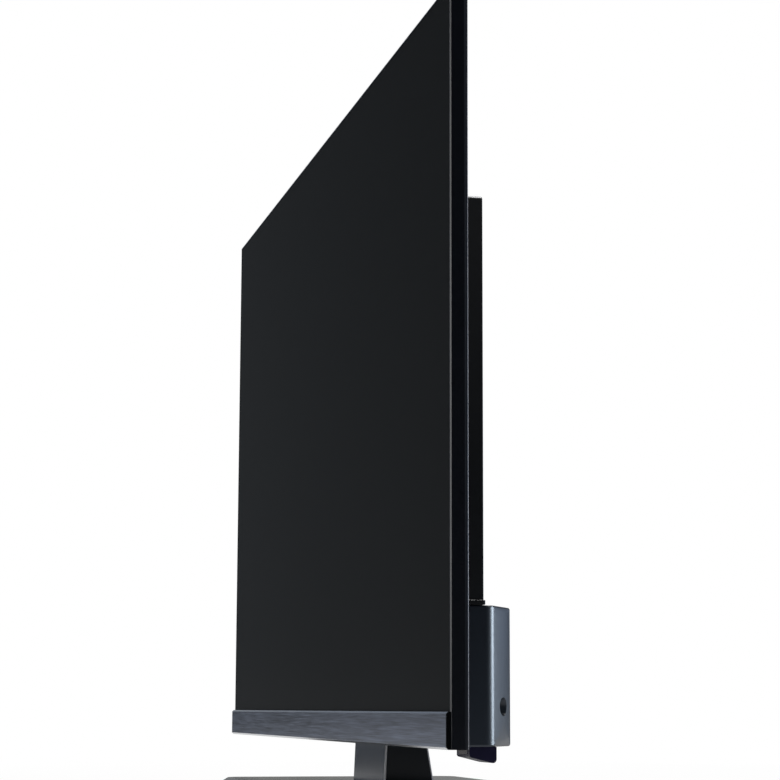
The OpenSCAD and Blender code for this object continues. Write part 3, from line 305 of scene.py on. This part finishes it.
# finishes of the pieces on the back and inside
insideLooks = {
    "optical_film": {"colour": (0.75, 0.76, 0.78), "roughness": 0.4, "toneSpread": 0.03, "bump": 0.03},
    "acrylic": {"colour": (0.72, 0.8, 0.84), "roughness": 0.08, "toneSpread": 0.03, "bump": 0.02},
    "board_green": {"colour": (0.012, 0.09, 0.035), "roughness": 0.35, "grain": 900, "cloud": 160,
                    "toneSpread": 0.5, "bump": 0.3},
    "board_tan": {"colour": (0.33, 0.2, 0.075), "roughness": 0.5, "grain": 900, "cloud": 120,
                  "toneSpread": 0.35, "bump": 0.2},
    "board_white": {"colour": (0.78, 0.78, 0.73), "roughness": 0.45, "toneSpread": 0.06},
    "flex_film": {"colour": (0.3, 0.14, 0.03), "roughness": 0.3, "cloud": 220, "toneSpread": 0.35},
    "heatsink_alloy": {"colour": (0.3, 0.3, 0.31), "stretch": (900, 900, 14), "roughness": 0.45,
                       "metal": 1.0},
    "frame_plastic": {"colour": (0.014, 0.014, 0.016), "roughness": 0.55, "bump": 0.25},
    "zinc_steel": {"colour": (0.42, 0.43, 0.44), "roughness": 0.42, "grain": 240, "cloud": 60,
                   "toneSpread": 0.35, "metal": 1.0},
    "zinc_screw": {"colour": (0.52, 0.52, 0.5), "roughness": 0.32, "metal": 1.0, "toneSpread": 0.2},
    "component_black": {"colour": (0.018, 0.018, 0.019), "roughness": 0.6, "bump": 0.3},
    "component_brown": {"colour": (0.08, 0.055, 0.028), "roughness": 0.5, "cloud": 90, "toneSpread": 0.5},
    "socket_steel": {"colour": (0.5, 0.5, 0.5), "stretch": (40, 700, 700), "roughness": 0.3, "metal": 1.0},
    "socket_brass": {"colour": (0.56, 0.47, 0.3), "stretch": (600, 60, 60), "roughness": 0.28, "metal": 1.0},
    "socket_plastic": {"colour": (0.008, 0.008, 0.009), "roughness": 0.35, "bump": 0.15},
    "speaker_plastic": {"colour": (0.011, 0.011, 0.012), "roughness": 0.6, "bump": 0.3},
    "speaker_cone": {"colour": (0.02, 0.019, 0.018), "roughness": 0.8, "grain": 500, "bump": 0.6},
    "ribbon": {"colour": (0.66, 0.66, 0.66), "stretch": (1000, 8, 8), "roughness": 0.4, "toneSpread": 0.25},
    "lead_red": {"colour": (0.33, 0.012, 0.01), "roughness": 0.45, "bump": 0.1},
    "lead_black": {"colour": (0.011, 0.011, 0.011), "roughness": 0.45, "bump": 0.1},
    "stand_steel": {"colour": (0.16, 0.16, 0.17), "roughness": 0.48, "grain": 1100, "bump": 0.4,
                    "metal": 0.4},
}

finishes = {slot: makeFinish(slot, look) for slot, look in {**outsideLooks, **insideLooks}.items()}
for name, piece in nodes.items():
    piece.data.materials.clear()
    piece.data.materials.append(finishes[slotOf[name]])
print("finishes:", len(finishes))


# solids with soft edges: a merged copy stands for the loose triangles of the solid
def addPiece(name, mesh, slot, body, *replaced):
    piece = bpy.data.objects.new(name, mesh)
    bpy.context.scene.collection.objects.link(piece)
    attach(piece, body)
    if replaced:
        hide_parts(*replaced)
    return piece


def bodyOf(node):
    return nodes[node]["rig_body"]


def crownEnds(work, crown):
    # the slanted ends swell a little between their edges, so the light fades across them
    up = Vector((0, 0, 1))
    strips, margin = crown["strips"], crown["margin"]
    steps = [step / strips for step in range(strips + 1)]
    for side in (-1, 1):
        faces = [face for face in work.faces if face.normal.x * side > crown["sideways"]
                 and face.normal.y > crown["backward"] and abs(face.normal.z) < crown["upright"]]
        outward = max(faces, key=lambda face: face.calc_area()).normal.copy()
        along = up.cross(outward)

        def slanted():
            return [face for face in work.faces if face.normal.dot(outward) > crown["flat"]]

        bmesh.ops.triangulate(work, faces=slanted())
        spans = []
        for direction, cuts in ((along, steps[1:-1]), (up, (margin, 1 - margin))):
            reach = [vert.co.dot(direction) for face in slanted() for vert in face.verts]
            start, width = min(reach), max(reach) - min(reach)
            spans.append((direction, start, width))
            for cut in cuts:
                parts = {part for face in slanted() for part in (face, *face.edges, *face.verts)}
                bmesh.ops.bisect_plane(work, geom=list(parts), dist=mergeGap, plane_no=direction,
                                       plane_co=direction * (start + width * cut))
        for vert in {vert for face in slanted() for vert in face.verts}:
            across, upward = [(vert.co.dot(direction) - start) / width for direction, start, width in spans]
            strip = min(int(across * strips + crown["slack"]), strips - 1)
            low, high = [4 * step * (1 - step) for step in steps[strip:strip + 2]]  # a parabola
            part = across * strips - strip
            fade = max(0, min(1, upward / margin, (1 - upward) / margin))
            vert.co += outward * crown["rise"] * mm * fade * (low + (high - low) * part)


leaning = 0.2  # least share of a highlighted bevel face's normal along each of its two axes
flatAngle = math.radians(0.4)  # faces that meet at less become one
anyHeight = (-1, 1000)  # mm


def markPaintedEdgeHighlight(mesh, axes):
    # faces marked here get the painted edge highlight of their finish
    mark = mesh.attributes.new("paintedEdgeHighlight", "FLOAT", "FACE")
    for face in mesh.polygons:
        mark.data[face.index].value = float(all(abs(face.normal[axis]) > leaning for axis in axes))


def softCopy(node, soft):
    mesh = nodes[node].data.copy()
    mesh.name = soft["name"]
    work = bmesh.new()
    work.from_mesh(mesh)
    bmesh.ops.remove_doubles(work, verts=work.verts, dist=mergeGap)
    bmesh.ops.dissolve_degenerate(work, dist=hairline, edges=work.edges)
    bmesh.ops.dissolve_limit(work, angle_limit=flatAngle, verts=work.verts, edges=work.edges)
    work.normal_update()
    if "bevel" in soft:
        low, high = soft.get("heights", anyHeight)  # edges outside these heights stay sharp
        edges = [edge for edge in work.edges
                 if len(edge.link_faces) == 2 and edge.calc_face_angle(0) > math.radians(soft["from"])
                 and low * mm < (edge.verts[0].co.z + edge.verts[1].co.z) / 2 < high * mm]
        bmesh.ops.bevel(work, geom=edges, offset=soft["bevel"] * mm, segments=soft["steps"],
                        profile=0.5, affect="EDGES", clamp_overlap=True)
    if "crown" in soft:
        crownEnds(work, soft["crown"])
    work.normal_update()
    for face in work.faces:
        face.smooth = True
    for edge in work.edges:
        edge.smooth = edge.calc_face_angle(0) <= math.radians(soft["smooth"])
    work.to_mesh(mesh)
    work.free()
    # mark the bevel faces that carry a painted highlight
    if "paintedEdgeHighlight" in soft:
        markPaintedEdgeHighlight(mesh, soft["paintedEdgeHighlight"])
    mesh.materials.clear()
    mesh.materials.append(finishes[slotOf[node]])
    piece = addPiece(soft["name"], mesh, slotOf[node], bodyOf(node), node)
    even = piece.modifiers.new("evenNormals", "WEIGHTED_NORMAL")
    even.keep_sharp = True


boxTop = max(corner[2] for corner in nodes["lower_cover"].bound_box) / mm
softEdges = {  # bevel, crown and heights in mm; from and smooth are angles in degrees
    "rear_cover": {"name": "rearCoverShell", "bevel": 0.8, "steps": 4, "from": 60, "smooth": 32,
                   "heights": (boxTop - 1.5, boxTop + 5)},  # the bead at the cover's foot
    "lower_cover": {"name": "lowerCoverShell", "smooth": 32,
                    "crown": {
                        "rise": 1.3,
                        "strips": 28,  # flat strips that make the curve
                        "margin": 0.04,  # share of the height over which it fades at the top and the foot
                        "slack": 1e-4,
                        "sideways": 0.4,  # limits that tell the slanted ends by their normals
                        "backward": 0.3,
                        "upright": 0.05,
                        "flat": 0.9999,
                    }},
    "trim_left": {"name": "trimLeft", "smooth": 25},
    "trim_right": {"name": "trimRight", "smooth": 25},
    "trim_top": {"name": "trimTop", "smooth": 25},
    "bottom_strip": {"name": "brushedStrip", "bevel": 0.25, "steps": 3, "from": 20, "smooth": 60,
                     "paintedEdgeHighlight": (1, 2)},  # faces that lean on both of these axes get the painted edge highlight
    "strip_carrier": {"name": "stripCarrier", "bevel": 0.4, "steps": 3, "from": 30, "smooth": 60},
    "stand_neck": {"name": "neckCasting", "bevel": 0.5, "steps": 3, "from": 20, "smooth": 60,
                   "paintedEdgeHighlight": (0, 1)},
    "base_cover": {"name": "baseTop", "bevel": 0.7, "steps": 3, "from": 15, "smooth": 60,
                   "heights": (5.2, 1000)},
    "control_pod": {"name": "podShell", "bevel": 0.4, "steps": 3, "from": 30, "smooth": 60},
    "power_key": {"name": "powerKey", "bevel": 0.25, "steps": 3, "from": 30, "smooth": 60},
}
for node, soft in softEdges.items():
    softCopy(node, soft)
print("soft edges:", len(softEdges))


# repeated small pieces, each row grown by a node group and kept as a plain mesh
def newGeometryGroup(name, inputs):
    group = bpy.data.node_groups.new(name, "GeometryNodeTree")
    group.interface.new_socket("Geometry", in_out="INPUT", socket_type="NodeSocketGeometry")
    group.interface.new_socket("Geometry", in_out="OUTPUT", socket_type="NodeSocketGeometry")
    for label, kind in inputs:
        group.interface.new_socket(label, in_out="INPUT", socket_type="NodeSocket" + kind)
    return group, group.nodes.new("NodeGroupInput"), group.nodes.new("NodeGroupOutput")


def addNode(group, kind, values=(), links=()):
    node = group.nodes.new(kind)
    for socket, value in dict(values).items():
        node.inputs[socket].default_value = value
    for socket, output in dict(links).items():
        group.links.new(output, node.inputs[socket])
    return node


def combine(group, *parts):
    node = group.nodes.new("ShaderNodeCombineXYZ")
    for index, part in enumerate(parts):
        if isinstance(part, (int, float)):
            node.inputs[index].default_value = part
        else:
            group.links.new(part, node.inputs[index])
    return node.outputs[0]


def finishGroup(group, source, target, geometry):
    whole = addNode(group, "GeometryNodeRealizeInstances", links={"Geometry": geometry})
    painted = addNode(group, "GeometryNodeSetMaterial",
                      links={"Geometry": whole.outputs[0], "Material": source.outputs["Material"]})
    group.links.new(painted.outputs[0], target.inputs["Geometry"])


screwShape = {
    "round": 40,  # corners of the head
    "sideRings": 4,
    "topRings": 5,
    "dome": 0.45,  # fall of the rim, as a share of the head's height
    "arm": 1.15,  # length of the cross, as a share of the radius
    "floors": (1.2, 1.14),  # two floors, so that the cut of the cross stays clean
    "shankRound": 24,
    "shankFrom": 0.9,  # share of the head's height at which the shank starts
}


def domedHead(group, radius, height, shape):
    disc = addNode(group, "GeometryNodeMeshCylinder", {
        "Vertices": shape["round"], "Side Segments": shape["sideRings"], "Fill Segments": shape["topRings"]},
        {"Radius": radius, "Depth": height})
    low = combine(group, 0, 0, mathNode(group, "MULTIPLY", height, -0.5))
    blank = addNode(group, "GeometryNodeTransform",
                    links={"Geometry": disc.outputs["Mesh"], "Translation": low})
    place = group.nodes.new("GeometryNodeInputPosition")
    split = addNode(group, "ShaderNodeSeparateXYZ", links={0: place.outputs[0]})
    level = combine(group, split.outputs[0], split.outputs[1], 0)
    flat = addNode(group, "ShaderNodeVectorMath", links={0: level})
    flat.operation = "LENGTH"
    share = mathNode(group, "DIVIDE", flat.outputs["Value"], radius)
    rise = mathNode(group, "ADD", mathNode(group, "DIVIDE", split.outputs[2], height), 1.0)
    drop = mathNode(group, "MULTIPLY", mathNode(group, "MULTIPLY", share, share), rise)
    drop = mathNode(group, "MULTIPLY", mathNode(group, "MULTIPLY", drop, height), -shape["dome"])
    dome = addNode(group, "GeometryNodeSetPosition",
                   links={"Geometry": blank.outputs[0], "Offset": combine(group, 0, 0, drop)})
    return dome.outputs[0]


def cutCross(group, head, radius, height, recess, shape):
    cut = group.nodes.new("GeometryNodeMeshBoolean")
    cut.operation = "DIFFERENCE"
    group.links.new(head, cut.inputs["Mesh 1"])
    arm = mathNode(group, "MULTIPLY", radius, shape["arm"])
    deep, shallow = [mathNode(group, "MULTIPLY", height, share) for share in shape["floors"]]
    for size in (combine(group, recess, arm, deep), combine(group, arm, recess, shallow)):
        slot = addNode(group, "GeometryNodeMeshCube", links={"Size": size})
        group.links.new(slot.outputs["Mesh"], cut.inputs["Mesh 2"])
    return cut.outputs["Mesh"]


def makeCrossScrews(shape):
    # pan heads with a cross recess, top at the point, and a plain shank of the point's own length
    group, source, target = newGeometryGroup("crossScrews", [
        ("Head Radius", "Float"), ("Head Height", "Float"), ("Shank Radius", "Float"), ("Recess", "Float"),
        ("Turn", "Vector"), ("Seed", "Int"), ("Material", "Material")])
    points = source.outputs["Geometry"]
    radius, height = source.outputs["Head Radius"], source.outputs["Head Height"]
    head = domedHead(group, radius, height, shape)
    head = cutCross(group, head, radius, height, source.outputs["Recess"], shape)
    turn = addNode(group, "FunctionNodeEulerToRotation", links={0: source.outputs["Turn"]})
    heads = addNode(group, "GeometryNodeInstanceOnPoints",
                    links={"Points": points, "Instance": head, "Rotation": turn.outputs[0]})
    chance = group.nodes.new("FunctionNodeRandomValue")
    chance.data_type = "FLOAT"
    numbers = [socket for socket in chance.inputs if socket.type == "VALUE"]
    numbers[1].default_value = math.pi / 2  # a cross looks the same after a quarter turn
    wire(group, source, "Seed", chance, "Seed")
    angle = next(socket for socket in chance.outputs if socket.type == "VALUE")
    spun = addNode(group, "GeometryNodeRotateInstances", {"Local Space": True}, {
        "Instances": heads.outputs[0], "Rotation": combine(group, 0, 0, angle)})
    stick = addNode(group, "GeometryNodeMeshCylinder", {"Vertices": shape["shankRound"], "Depth": 1.0},
                    {"Radius": source.outputs["Shank Radius"]})
    hung = addNode(group, "GeometryNodeTransform", {"Translation": (0, 0, -0.5)},
                   {"Geometry": stick.outputs["Mesh"]})
    length = group.nodes.new("GeometryNodeInputNamedAttribute")
    length.data_type = "FLOAT"
    length.inputs["Name"].default_value = "length"
    shanks = addNode(group, "GeometryNodeInstanceOnPoints", links={
        "Points": points, "Instance": hung.outputs[0], "Rotation": turn.outputs[0],
        "Scale": combine(group, 1, 1, length.outputs[0])})
    start = mathNode(group, "MULTIPLY", height, -shape["shankFrom"])
    moved = addNode(group, "GeometryNodeTranslateInstances", {"Local Space": True}, {
        "Instances": shanks.outputs[0], "Translation": combine(group, 0, 0, start)})
    both = group.nodes.new("GeometryNodeJoinGeometry")
    group.links.new(spun.outputs[0], both.inputs[0])
    group.links.new(moved.outputs[0], both.inputs[0])
    finishGroup(group, source, target, both.outputs[0])
    return group


def makeContactRows():
    # flat contacts side by side along Z, starting at each point
    group, source, target = newGeometryGroup("contactRows", [
        ("Count", "Int"), ("Pitch", "Float"), ("Size", "Vector"), ("Material", "Material")])
    contact = addNode(group, "GeometryNodeMeshCube", links={"Size": source.outputs["Size"]})
    line = addNode(group, "GeometryNodeMeshLine", links={
        "Count": source.outputs["Count"], "Offset": combine(group, 0, 0, source.outputs["Pitch"])})
    row = addNode(group, "GeometryNodeInstanceOnPoints",
                  links={"Points": line.outputs[0], "Instance": contact.outputs["Mesh"]})
    rows = addNode(group, "GeometryNodeInstanceOnPoints",
                   links={"Points": source.outputs["Geometry"], "Instance": row.outputs[0]})
    finishGroup(group, source, target, rows.outputs[0])
    return group


def makeThreadRings(setup):
    # ridges of a thread along the depth, running inward from each point
    group, source, target = newGeometryGroup("threadRings", [
        ("Count", "Int"), ("Pitch", "Float"), ("Radius", "Float"), ("Ridge", "Float"),
        ("Material", "Material")])
    circle = addNode(group, "GeometryNodeCurvePrimitiveCircle", {"Resolution": setup["round"]},
                     {"Radius": source.outputs["Radius"]})
    ridge = addNode(group, "GeometryNodeCurvePrimitiveCircle", {"Resolution": setup["ridgeRound"]},
                    {"Radius": source.outputs["Ridge"]})
    ring = addNode(group, "GeometryNodeCurveToMesh",
                   links={"Curve": circle.outputs[0], "Profile Curve": ridge.outputs[0]})
    stood = addNode(group, "GeometryNodeTransform", {"Rotation": (math.pi / 2, 0, 0)},
                    {"Geometry": ring.outputs[0]})
    step = combine(group, 0, mathNode(group, "MULTIPLY", source.outputs["Pitch"], -1.0), 0)
    line = addNode(group, "GeometryNodeMeshLine", links={"Count": source.outputs["Count"], "Offset": step})
    rings = addNode(group, "GeometryNodeInstanceOnPoints",
                    links={"Points": line.outputs[0], "Instance": stood.outputs[0]})
    rows = addNode(group, "GeometryNodeInstanceOnPoints",
                   links={"Points": source.outputs["Geometry"], "Instance": rings.outputs[0]})
    finishGroup(group, source, target, rows.outputs[0])
    return group


def looseParts(node):
    # the vertices of each separate solid of a node
    work = bmesh.new()
    work.from_mesh(nodes[node].data)
    bmesh.ops.remove_doubles(work, verts=work.verts, dist=mergeGap)
    left, parts = set(work.verts), []
    while left:
        found = [left.pop()]
        for vert in found:
            near = {edge.other_vert(vert) for edge in vert.link_edges} & left
            left -= near
            found.extend(near)
        parts.append([vert.co.copy() for vert in found])
    work.free()
    return parts


def boxOf(points):
    return [Vector(bound(point[axis] for point in points) for axis in range(3)) for bound in (min, max)]


sharpFrom = math.radians(30)


def grow(name, group, points, values, slot, body, replaced=(), lengths=None):
    mesh = bpy.data.meshes.new(name + "Places")
    mesh.from_pydata(points, [], [])
    if lengths:
        mesh.attributes.new("length", "FLOAT", "POINT").data.foreach_set("value", lengths)
    places = bpy.data.objects.new(name + "Places", mesh)
    bpy.context.scene.collection.objects.link(places)
    modifier = places.modifiers.new("grow", "NODES")
    modifier.node_group = group
    for item in group.interface.items_tree:
        if item.in_out == "INPUT" and item.name in values:
            modifier[item.identifier] = values[item.name]
        elif item.name == "Material":
            modifier[item.identifier] = finishes[slot]
    grown = bpy.data.meshes.new_from_object(places.evaluated_get(bpy.context.evaluated_depsgraph_get()))
    bpy.data.objects.remove(places)
    grown.name = name
    grown.shade_smooth()
    grown.set_sharp_from_angle(angle=sharpFrom)
    addPiece(name, grown, slot, body, *replaced)
    print("grown:", name, len(grown.polygons), "faces")


screwRows = {  # axis and side of the heads, recess as a share of the head, seed of the turn of each cross
    "rear_cover_screws": {"name": "rearCoverScrews", "axis": 1, "side": 1, "recess": 0.3, "seed": 3},
    "lower_cover_screws": {"name": "lowerCoverScrews", "axis": 1, "side": 1, "recess": 0.28, "seed": 8},
    "neck_screws": {"name": "neckScrews", "axis": 1, "side": 1, "recess": 0.26, "seed": 5},
    "base_screws": {"name": "baseScrews", "axis": 2, "side": -1, "recess": 0.28, "seed": 2},
}
turns = {(1, 1): (-math.pi / 2, 0, 0), (2, -1): (math.pi, 0, 0)}  # from facing up to each axis and side


def growScrews(node, row, group):
    axis, side = row["axis"], row["side"]
    across = 0  # both screw axes stand square to X
    points, lengths = [], []
    for part in looseParts(node):
        low, high = boxOf(part)
        top, tip = (high[axis], low[axis]) if side > 0 else (low[axis], high[axis])
        middle = (low + high) / 2
        middle[axis] = top
        points.append(middle)
        headRadius = (high[across] - low[across]) / 2
        shank = [vert for vert in part if abs(vert[axis] - tip) < hairline]
        shankRadius = (boxOf(shank)[1][across] - boxOf(shank)[0][across]) / 2
        wide = [abs(vert[axis] - top) for vert in part
                if abs(vert[across] - middle[across]) > (headRadius + shankRadius) / 2]
        headHeight = max(wide)
        lengths.append(abs(top - tip) - screwShape["shankFrom"] * headHeight)
    values = {"Head Radius": headRadius, "Head Height": headHeight, "Shank Radius": shankRadius,
              "Recess": headRadius * row["recess"], "Turn": turns[axis, side], "Seed": row["seed"]}
    grow(row["name"], group, points, values, slotOf[node], bodyOf(node), [node], lengths)


crossScrews = makeCrossScrews(screwShape)
for node, row in screwRows.items():
    growScrews(node, row, crossScrews)

contactSets = {  # mm from the low corner of each socket's box, except the middle in Z
    "hdmi_sockets": {"name": "hdmiContacts", "count": 10, "pitch": 1.0, "size": (6.5, 0.12, 0.45),
                     "from": 5.8, "deep": 3.8},
    "usb_sockets": {"name": "usbContacts", "count": 4, "pitch": 2.3, "size": (9.0, 0.12, 1.1),
                    "from": 6.4, "deep": 3.2},
    "network_socket": {"name": "networkContacts", "count": 8, "pitch": 1.02, "size": (9.0, 0.4, 0.45),
                       "from": 8.0, "deep": 2.5},
}
contactRows = makeContactRows()
for node, row in contactSets.items():
    starts = []
    for part in looseParts(node):
        low, high = boxOf(part)
        middle = (low.z + high.z) / 2 - row["pitch"] * (row["count"] - 1) / 2 * mm
        starts.append((low.x + row["from"] * mm, low.y + row["deep"] * mm, middle))
    grow(row["name"], contactRows, starts, {
        "Count": row["count"], "Pitch": row["pitch"] * mm, "Size": [length * mm for length in row["size"]]},
        "socket_brass", bodyOf(node))

threadSetup = {  # lengths in mm
    "count": 9,
    "pitch": 1.0,
    "radius": 3.0,
    "ridge": 0.28,
    "inset": 0.8,
    "round": 40,  # corners of each ring and of its ridge
    "ridgeRound": 6,
}
mouths = []
for part in looseParts("vesa_posts"):
    low, high = boxOf(part)
    mouths.append(((low.x + high.x) / 2, high.y - threadSetup["inset"] * mm, (low.z + high.z) / 2))
grow("wallMountThreads", makeThreadRings(threadSetup), mouths, {
    "Count": threadSetup["count"], "Pitch": threadSetup["pitch"] * mm, "Radius": threadSetup["radius"] * mm,
    "Ridge": threadSetup["ridge"] * mm}, slotOf["vesa_posts"], bodyOf("vesa_posts"))


# floor and light
def seenDirectly(tree, path):
    return mathNode(tree, "MAXIMUM", path.outputs["Is Camera Ray"], path.outputs["Is Transmission Ray"])


floorSetup = {
    "half": 14.0,  # metres
    "colour": (0.9, 0.9, 0.9),
    "whiteNear": 0.93,  # share of plain white that the camera sees, beside the set and far off
    "whiteFar": 1.0,
    "tableMiddle": (-0.35, 0.1, 0),
    "tableEnd": (0.75, 1.15),  # metres from there over which the white table ends, as reflections see it
    "beyond": 0.03,  # what is left of its light past that
}


def makeFloor(setup):
    half = setup["half"]
    mesh = bpy.data.meshes.new("paleFloor")
    corners = [(-half, -half, 0), (half, -half, 0), (half, half, 0), (-half, half, 0)]
    mesh.from_pydata(corners, [], [(0, 1, 2, 3)])
    floor = bpy.data.objects.new("paleFloor", mesh)
    bpy.context.scene.collection.objects.link(floor)
    material = bpy.data.materials.new("palePaper")
    material.use_nodes = True
    tree = material.node_tree
    tree.nodes.remove(tree.nodes["Principled BSDF"])
    paper = tree.nodes.new("ShaderNodeBsdfDiffuse")
    paper.inputs["Color"].default_value = (*setup["colour"], 1)
    white = tree.nodes.new("ShaderNodeEmission")
    path = tree.nodes.new("ShaderNodeLightPath")
    coords = tree.nodes.new("ShaderNodeTexCoord")
    away = tree.nodes.new("ShaderNodeVectorMath")
    away.operation = "DISTANCE"
    away.inputs[1].default_value = setup["tableMiddle"]
    wire(tree, coords, "Object", away, 0)
    distance = away.outputs["Value"]
    mirrored = path.outputs["Is Glossy Ray"]
    seen = seenDirectly(tree, path)
    share = mapRange(tree, distance, setup["tableEnd"], (setup["whiteNear"], setup["whiteFar"]))
    share = mathNode(tree, "MAXIMUM", mathNode(tree, "MULTIPLY", seen, share), mirrored)
    loss = mapRange(tree, distance, setup["tableEnd"], (0, 1 - setup["beyond"]))
    strength = mathNode(tree, "SUBTRACT", 1.0, mathNode(tree, "MULTIPLY", loss, mirrored))
    tree.links.new(strength, white.inputs["Strength"])
    mix = tree.nodes.new("ShaderNodeMixShader")
    tree.links.new(share, mix.inputs["Fac"])
    tree.links.new(paper.outputs[0], mix.inputs[1])
    tree.links.new(white.outputs[0], mix.inputs[2])
    wire(tree, mix, "Shader", tree.nodes["Material Output"], "Surface")
    mesh.materials.append(material)


worldSetup = {
    "fill": (0.14, 0.144, 0.15),  # light from all round
    "dark": (0.008, 0.009, 0.011),  # the unlit side of the studio, as reflections see it
    "backdrop": (0.36, 0.42, 0.52),  # stands behind the set
    "backdropSide": (-0.5, 0.866, 0),
    "edge": (0.13, 0.5),  # where it begins, as a share of that direction
    "dim": 0.12,  # it is darker inside its rim
    "dimEdge": (0.5, 0.7),
    "core": (0.68, 0.86, 1.2),  # and brightest in its middle
    "coreEdge": (0.94, 1.0),
    "card": (0.405, 0.405, 0.395),  # a neutral part, which the flat base mirrors
    "cardSide": (-0.97, 0.22, 0.08),
    "cardEdge": (0.94, 0.98),
}


def facing(tree, coords, side):
    node = tree.nodes.new("ShaderNodeVectorMath")
    node.operation = "DOT_PRODUCT"
    node.inputs[1].default_value = side
    wire(tree, coords, "Generated", node, 0)
    return node.outputs["Value"]


def makeWorld(setup):
    world = bpy.data.worlds.new("studio")
    bpy.context.scene.world = world
    world.use_nodes = True
    tree = world.node_tree
    background = tree.nodes["Background"]
    path = tree.nodes.new("ShaderNodeLightPath")
    coords = tree.nodes.new("ShaderNodeTexCoord")
    backward = facing(tree, coords, setup["backdropSide"])
    cardward = facing(tree, coords, setup["cardSide"])
    cloth = setup["backdrop"]
    dimmed = tuple(part * setup["dim"] for part in cloth)
    for side, edge, colour in ((backward, setup["dimEdge"], dimmed),
                               (backward, setup["coreEdge"], setup["core"]),
                               (cardward, setup["cardEdge"], setup["card"])):
        cloth = mixColour(tree, mapRange(tree, side, edge, (0, 1)), cloth, colour)
    studio = mixColour(tree, mapRange(tree, backward, setup["edge"], (0, 1)), setup["dark"], cloth)
    lit = mixColour(tree, path.outputs["Is Glossy Ray"], setup["fill"], studio)
    shown = mixColour(tree, seenDirectly(tree, path), lit, (1.0, 1.0, 1.0))
    tree.links.new(shown, background.inputs["Color"])


lamps = {  # place, aim and size in metres, power in watts; some only give highlights, some only fill
    "topSoftbox": {"place": (-1.0, 0.8, 2.4), "aim": (-0.4, 0.3, 0), "size": (2.2, 1.4), "power": 50},
    "leftFill": {"place": (-1.9, -1.7, 0.25), "aim": (-0.2, 0, 0.25), "size": (1.5, 1.5), "power": 70,
                 "glossy": False},
    "frontStrip": {"place": (0.73, -2.0, 0.65), "aim": (0.3, 0, 0.3), "size": (0.8, 1.4), "power": 18,
                   "diffuse": False},
    "rearStrip": {"place": (0.41, 0.55, 0.16), "aim": (0.37, 0.02, 0.13), "size": (0.24, 0.5), "power": 9.8,
                  "colour": (0.74, 0.87, 1.0), "diffuse": False, "only": "lowerCoverShell"},
    "edgeStrip": {"place": (-0.45, 0.8, 0.35), "aim": (0.48, 0, 0.35), "size": (0.3, 1.2), "power": 2.6,
                  "colour": (0.92, 0.92, 1.0), "diffuse": False, "only": "trimRight"},
    "seamSoftbox": {"place": (0.55, 0.5, 2.2), "aim": (0.37, 0.05, 0.14), "size": (0.4, 1.0), "power": 90,
                    "diffuse": False, "only": "rearCoverShell"},
}


def makeLamp(name, lamp):
    data = bpy.data.lights.new(name, "AREA")
    data.shape = "RECTANGLE"
    data.size, data.size_y = lamp["size"]
    data.energy = lamp["power"]
    data.color = lamp.get("colour", (1, 1, 1))
    light = bpy.data.objects.new(name, data)
    bpy.context.scene.collection.objects.link(light)
    light.visible_glossy = lamp.get("glossy", True)
    light.visible_diffuse = lamp.get("diffuse", True)
    if "only" in lamp:  # flagged off from every other piece
        lit = bpy.data.collections.new(name + "Lights")
        lit.objects.link(bpy.data.objects[lamp["only"]])
        light.light_linking.receiver_collection = lit
    light.location = lamp["place"]
    ray = Vector(lamp["aim"]) - Vector(lamp["place"])
    light.rotation_euler = ray.to_track_quat("-Z", "Y").to_euler()


makeFloor(floorSetup)
makeWorld(worldSetup)
for name, lamp in lamps.items():
    makeLamp(name, lamp)
bpy.context.scene.view_settings.view_transform = "Standard"
print("stage and light done")
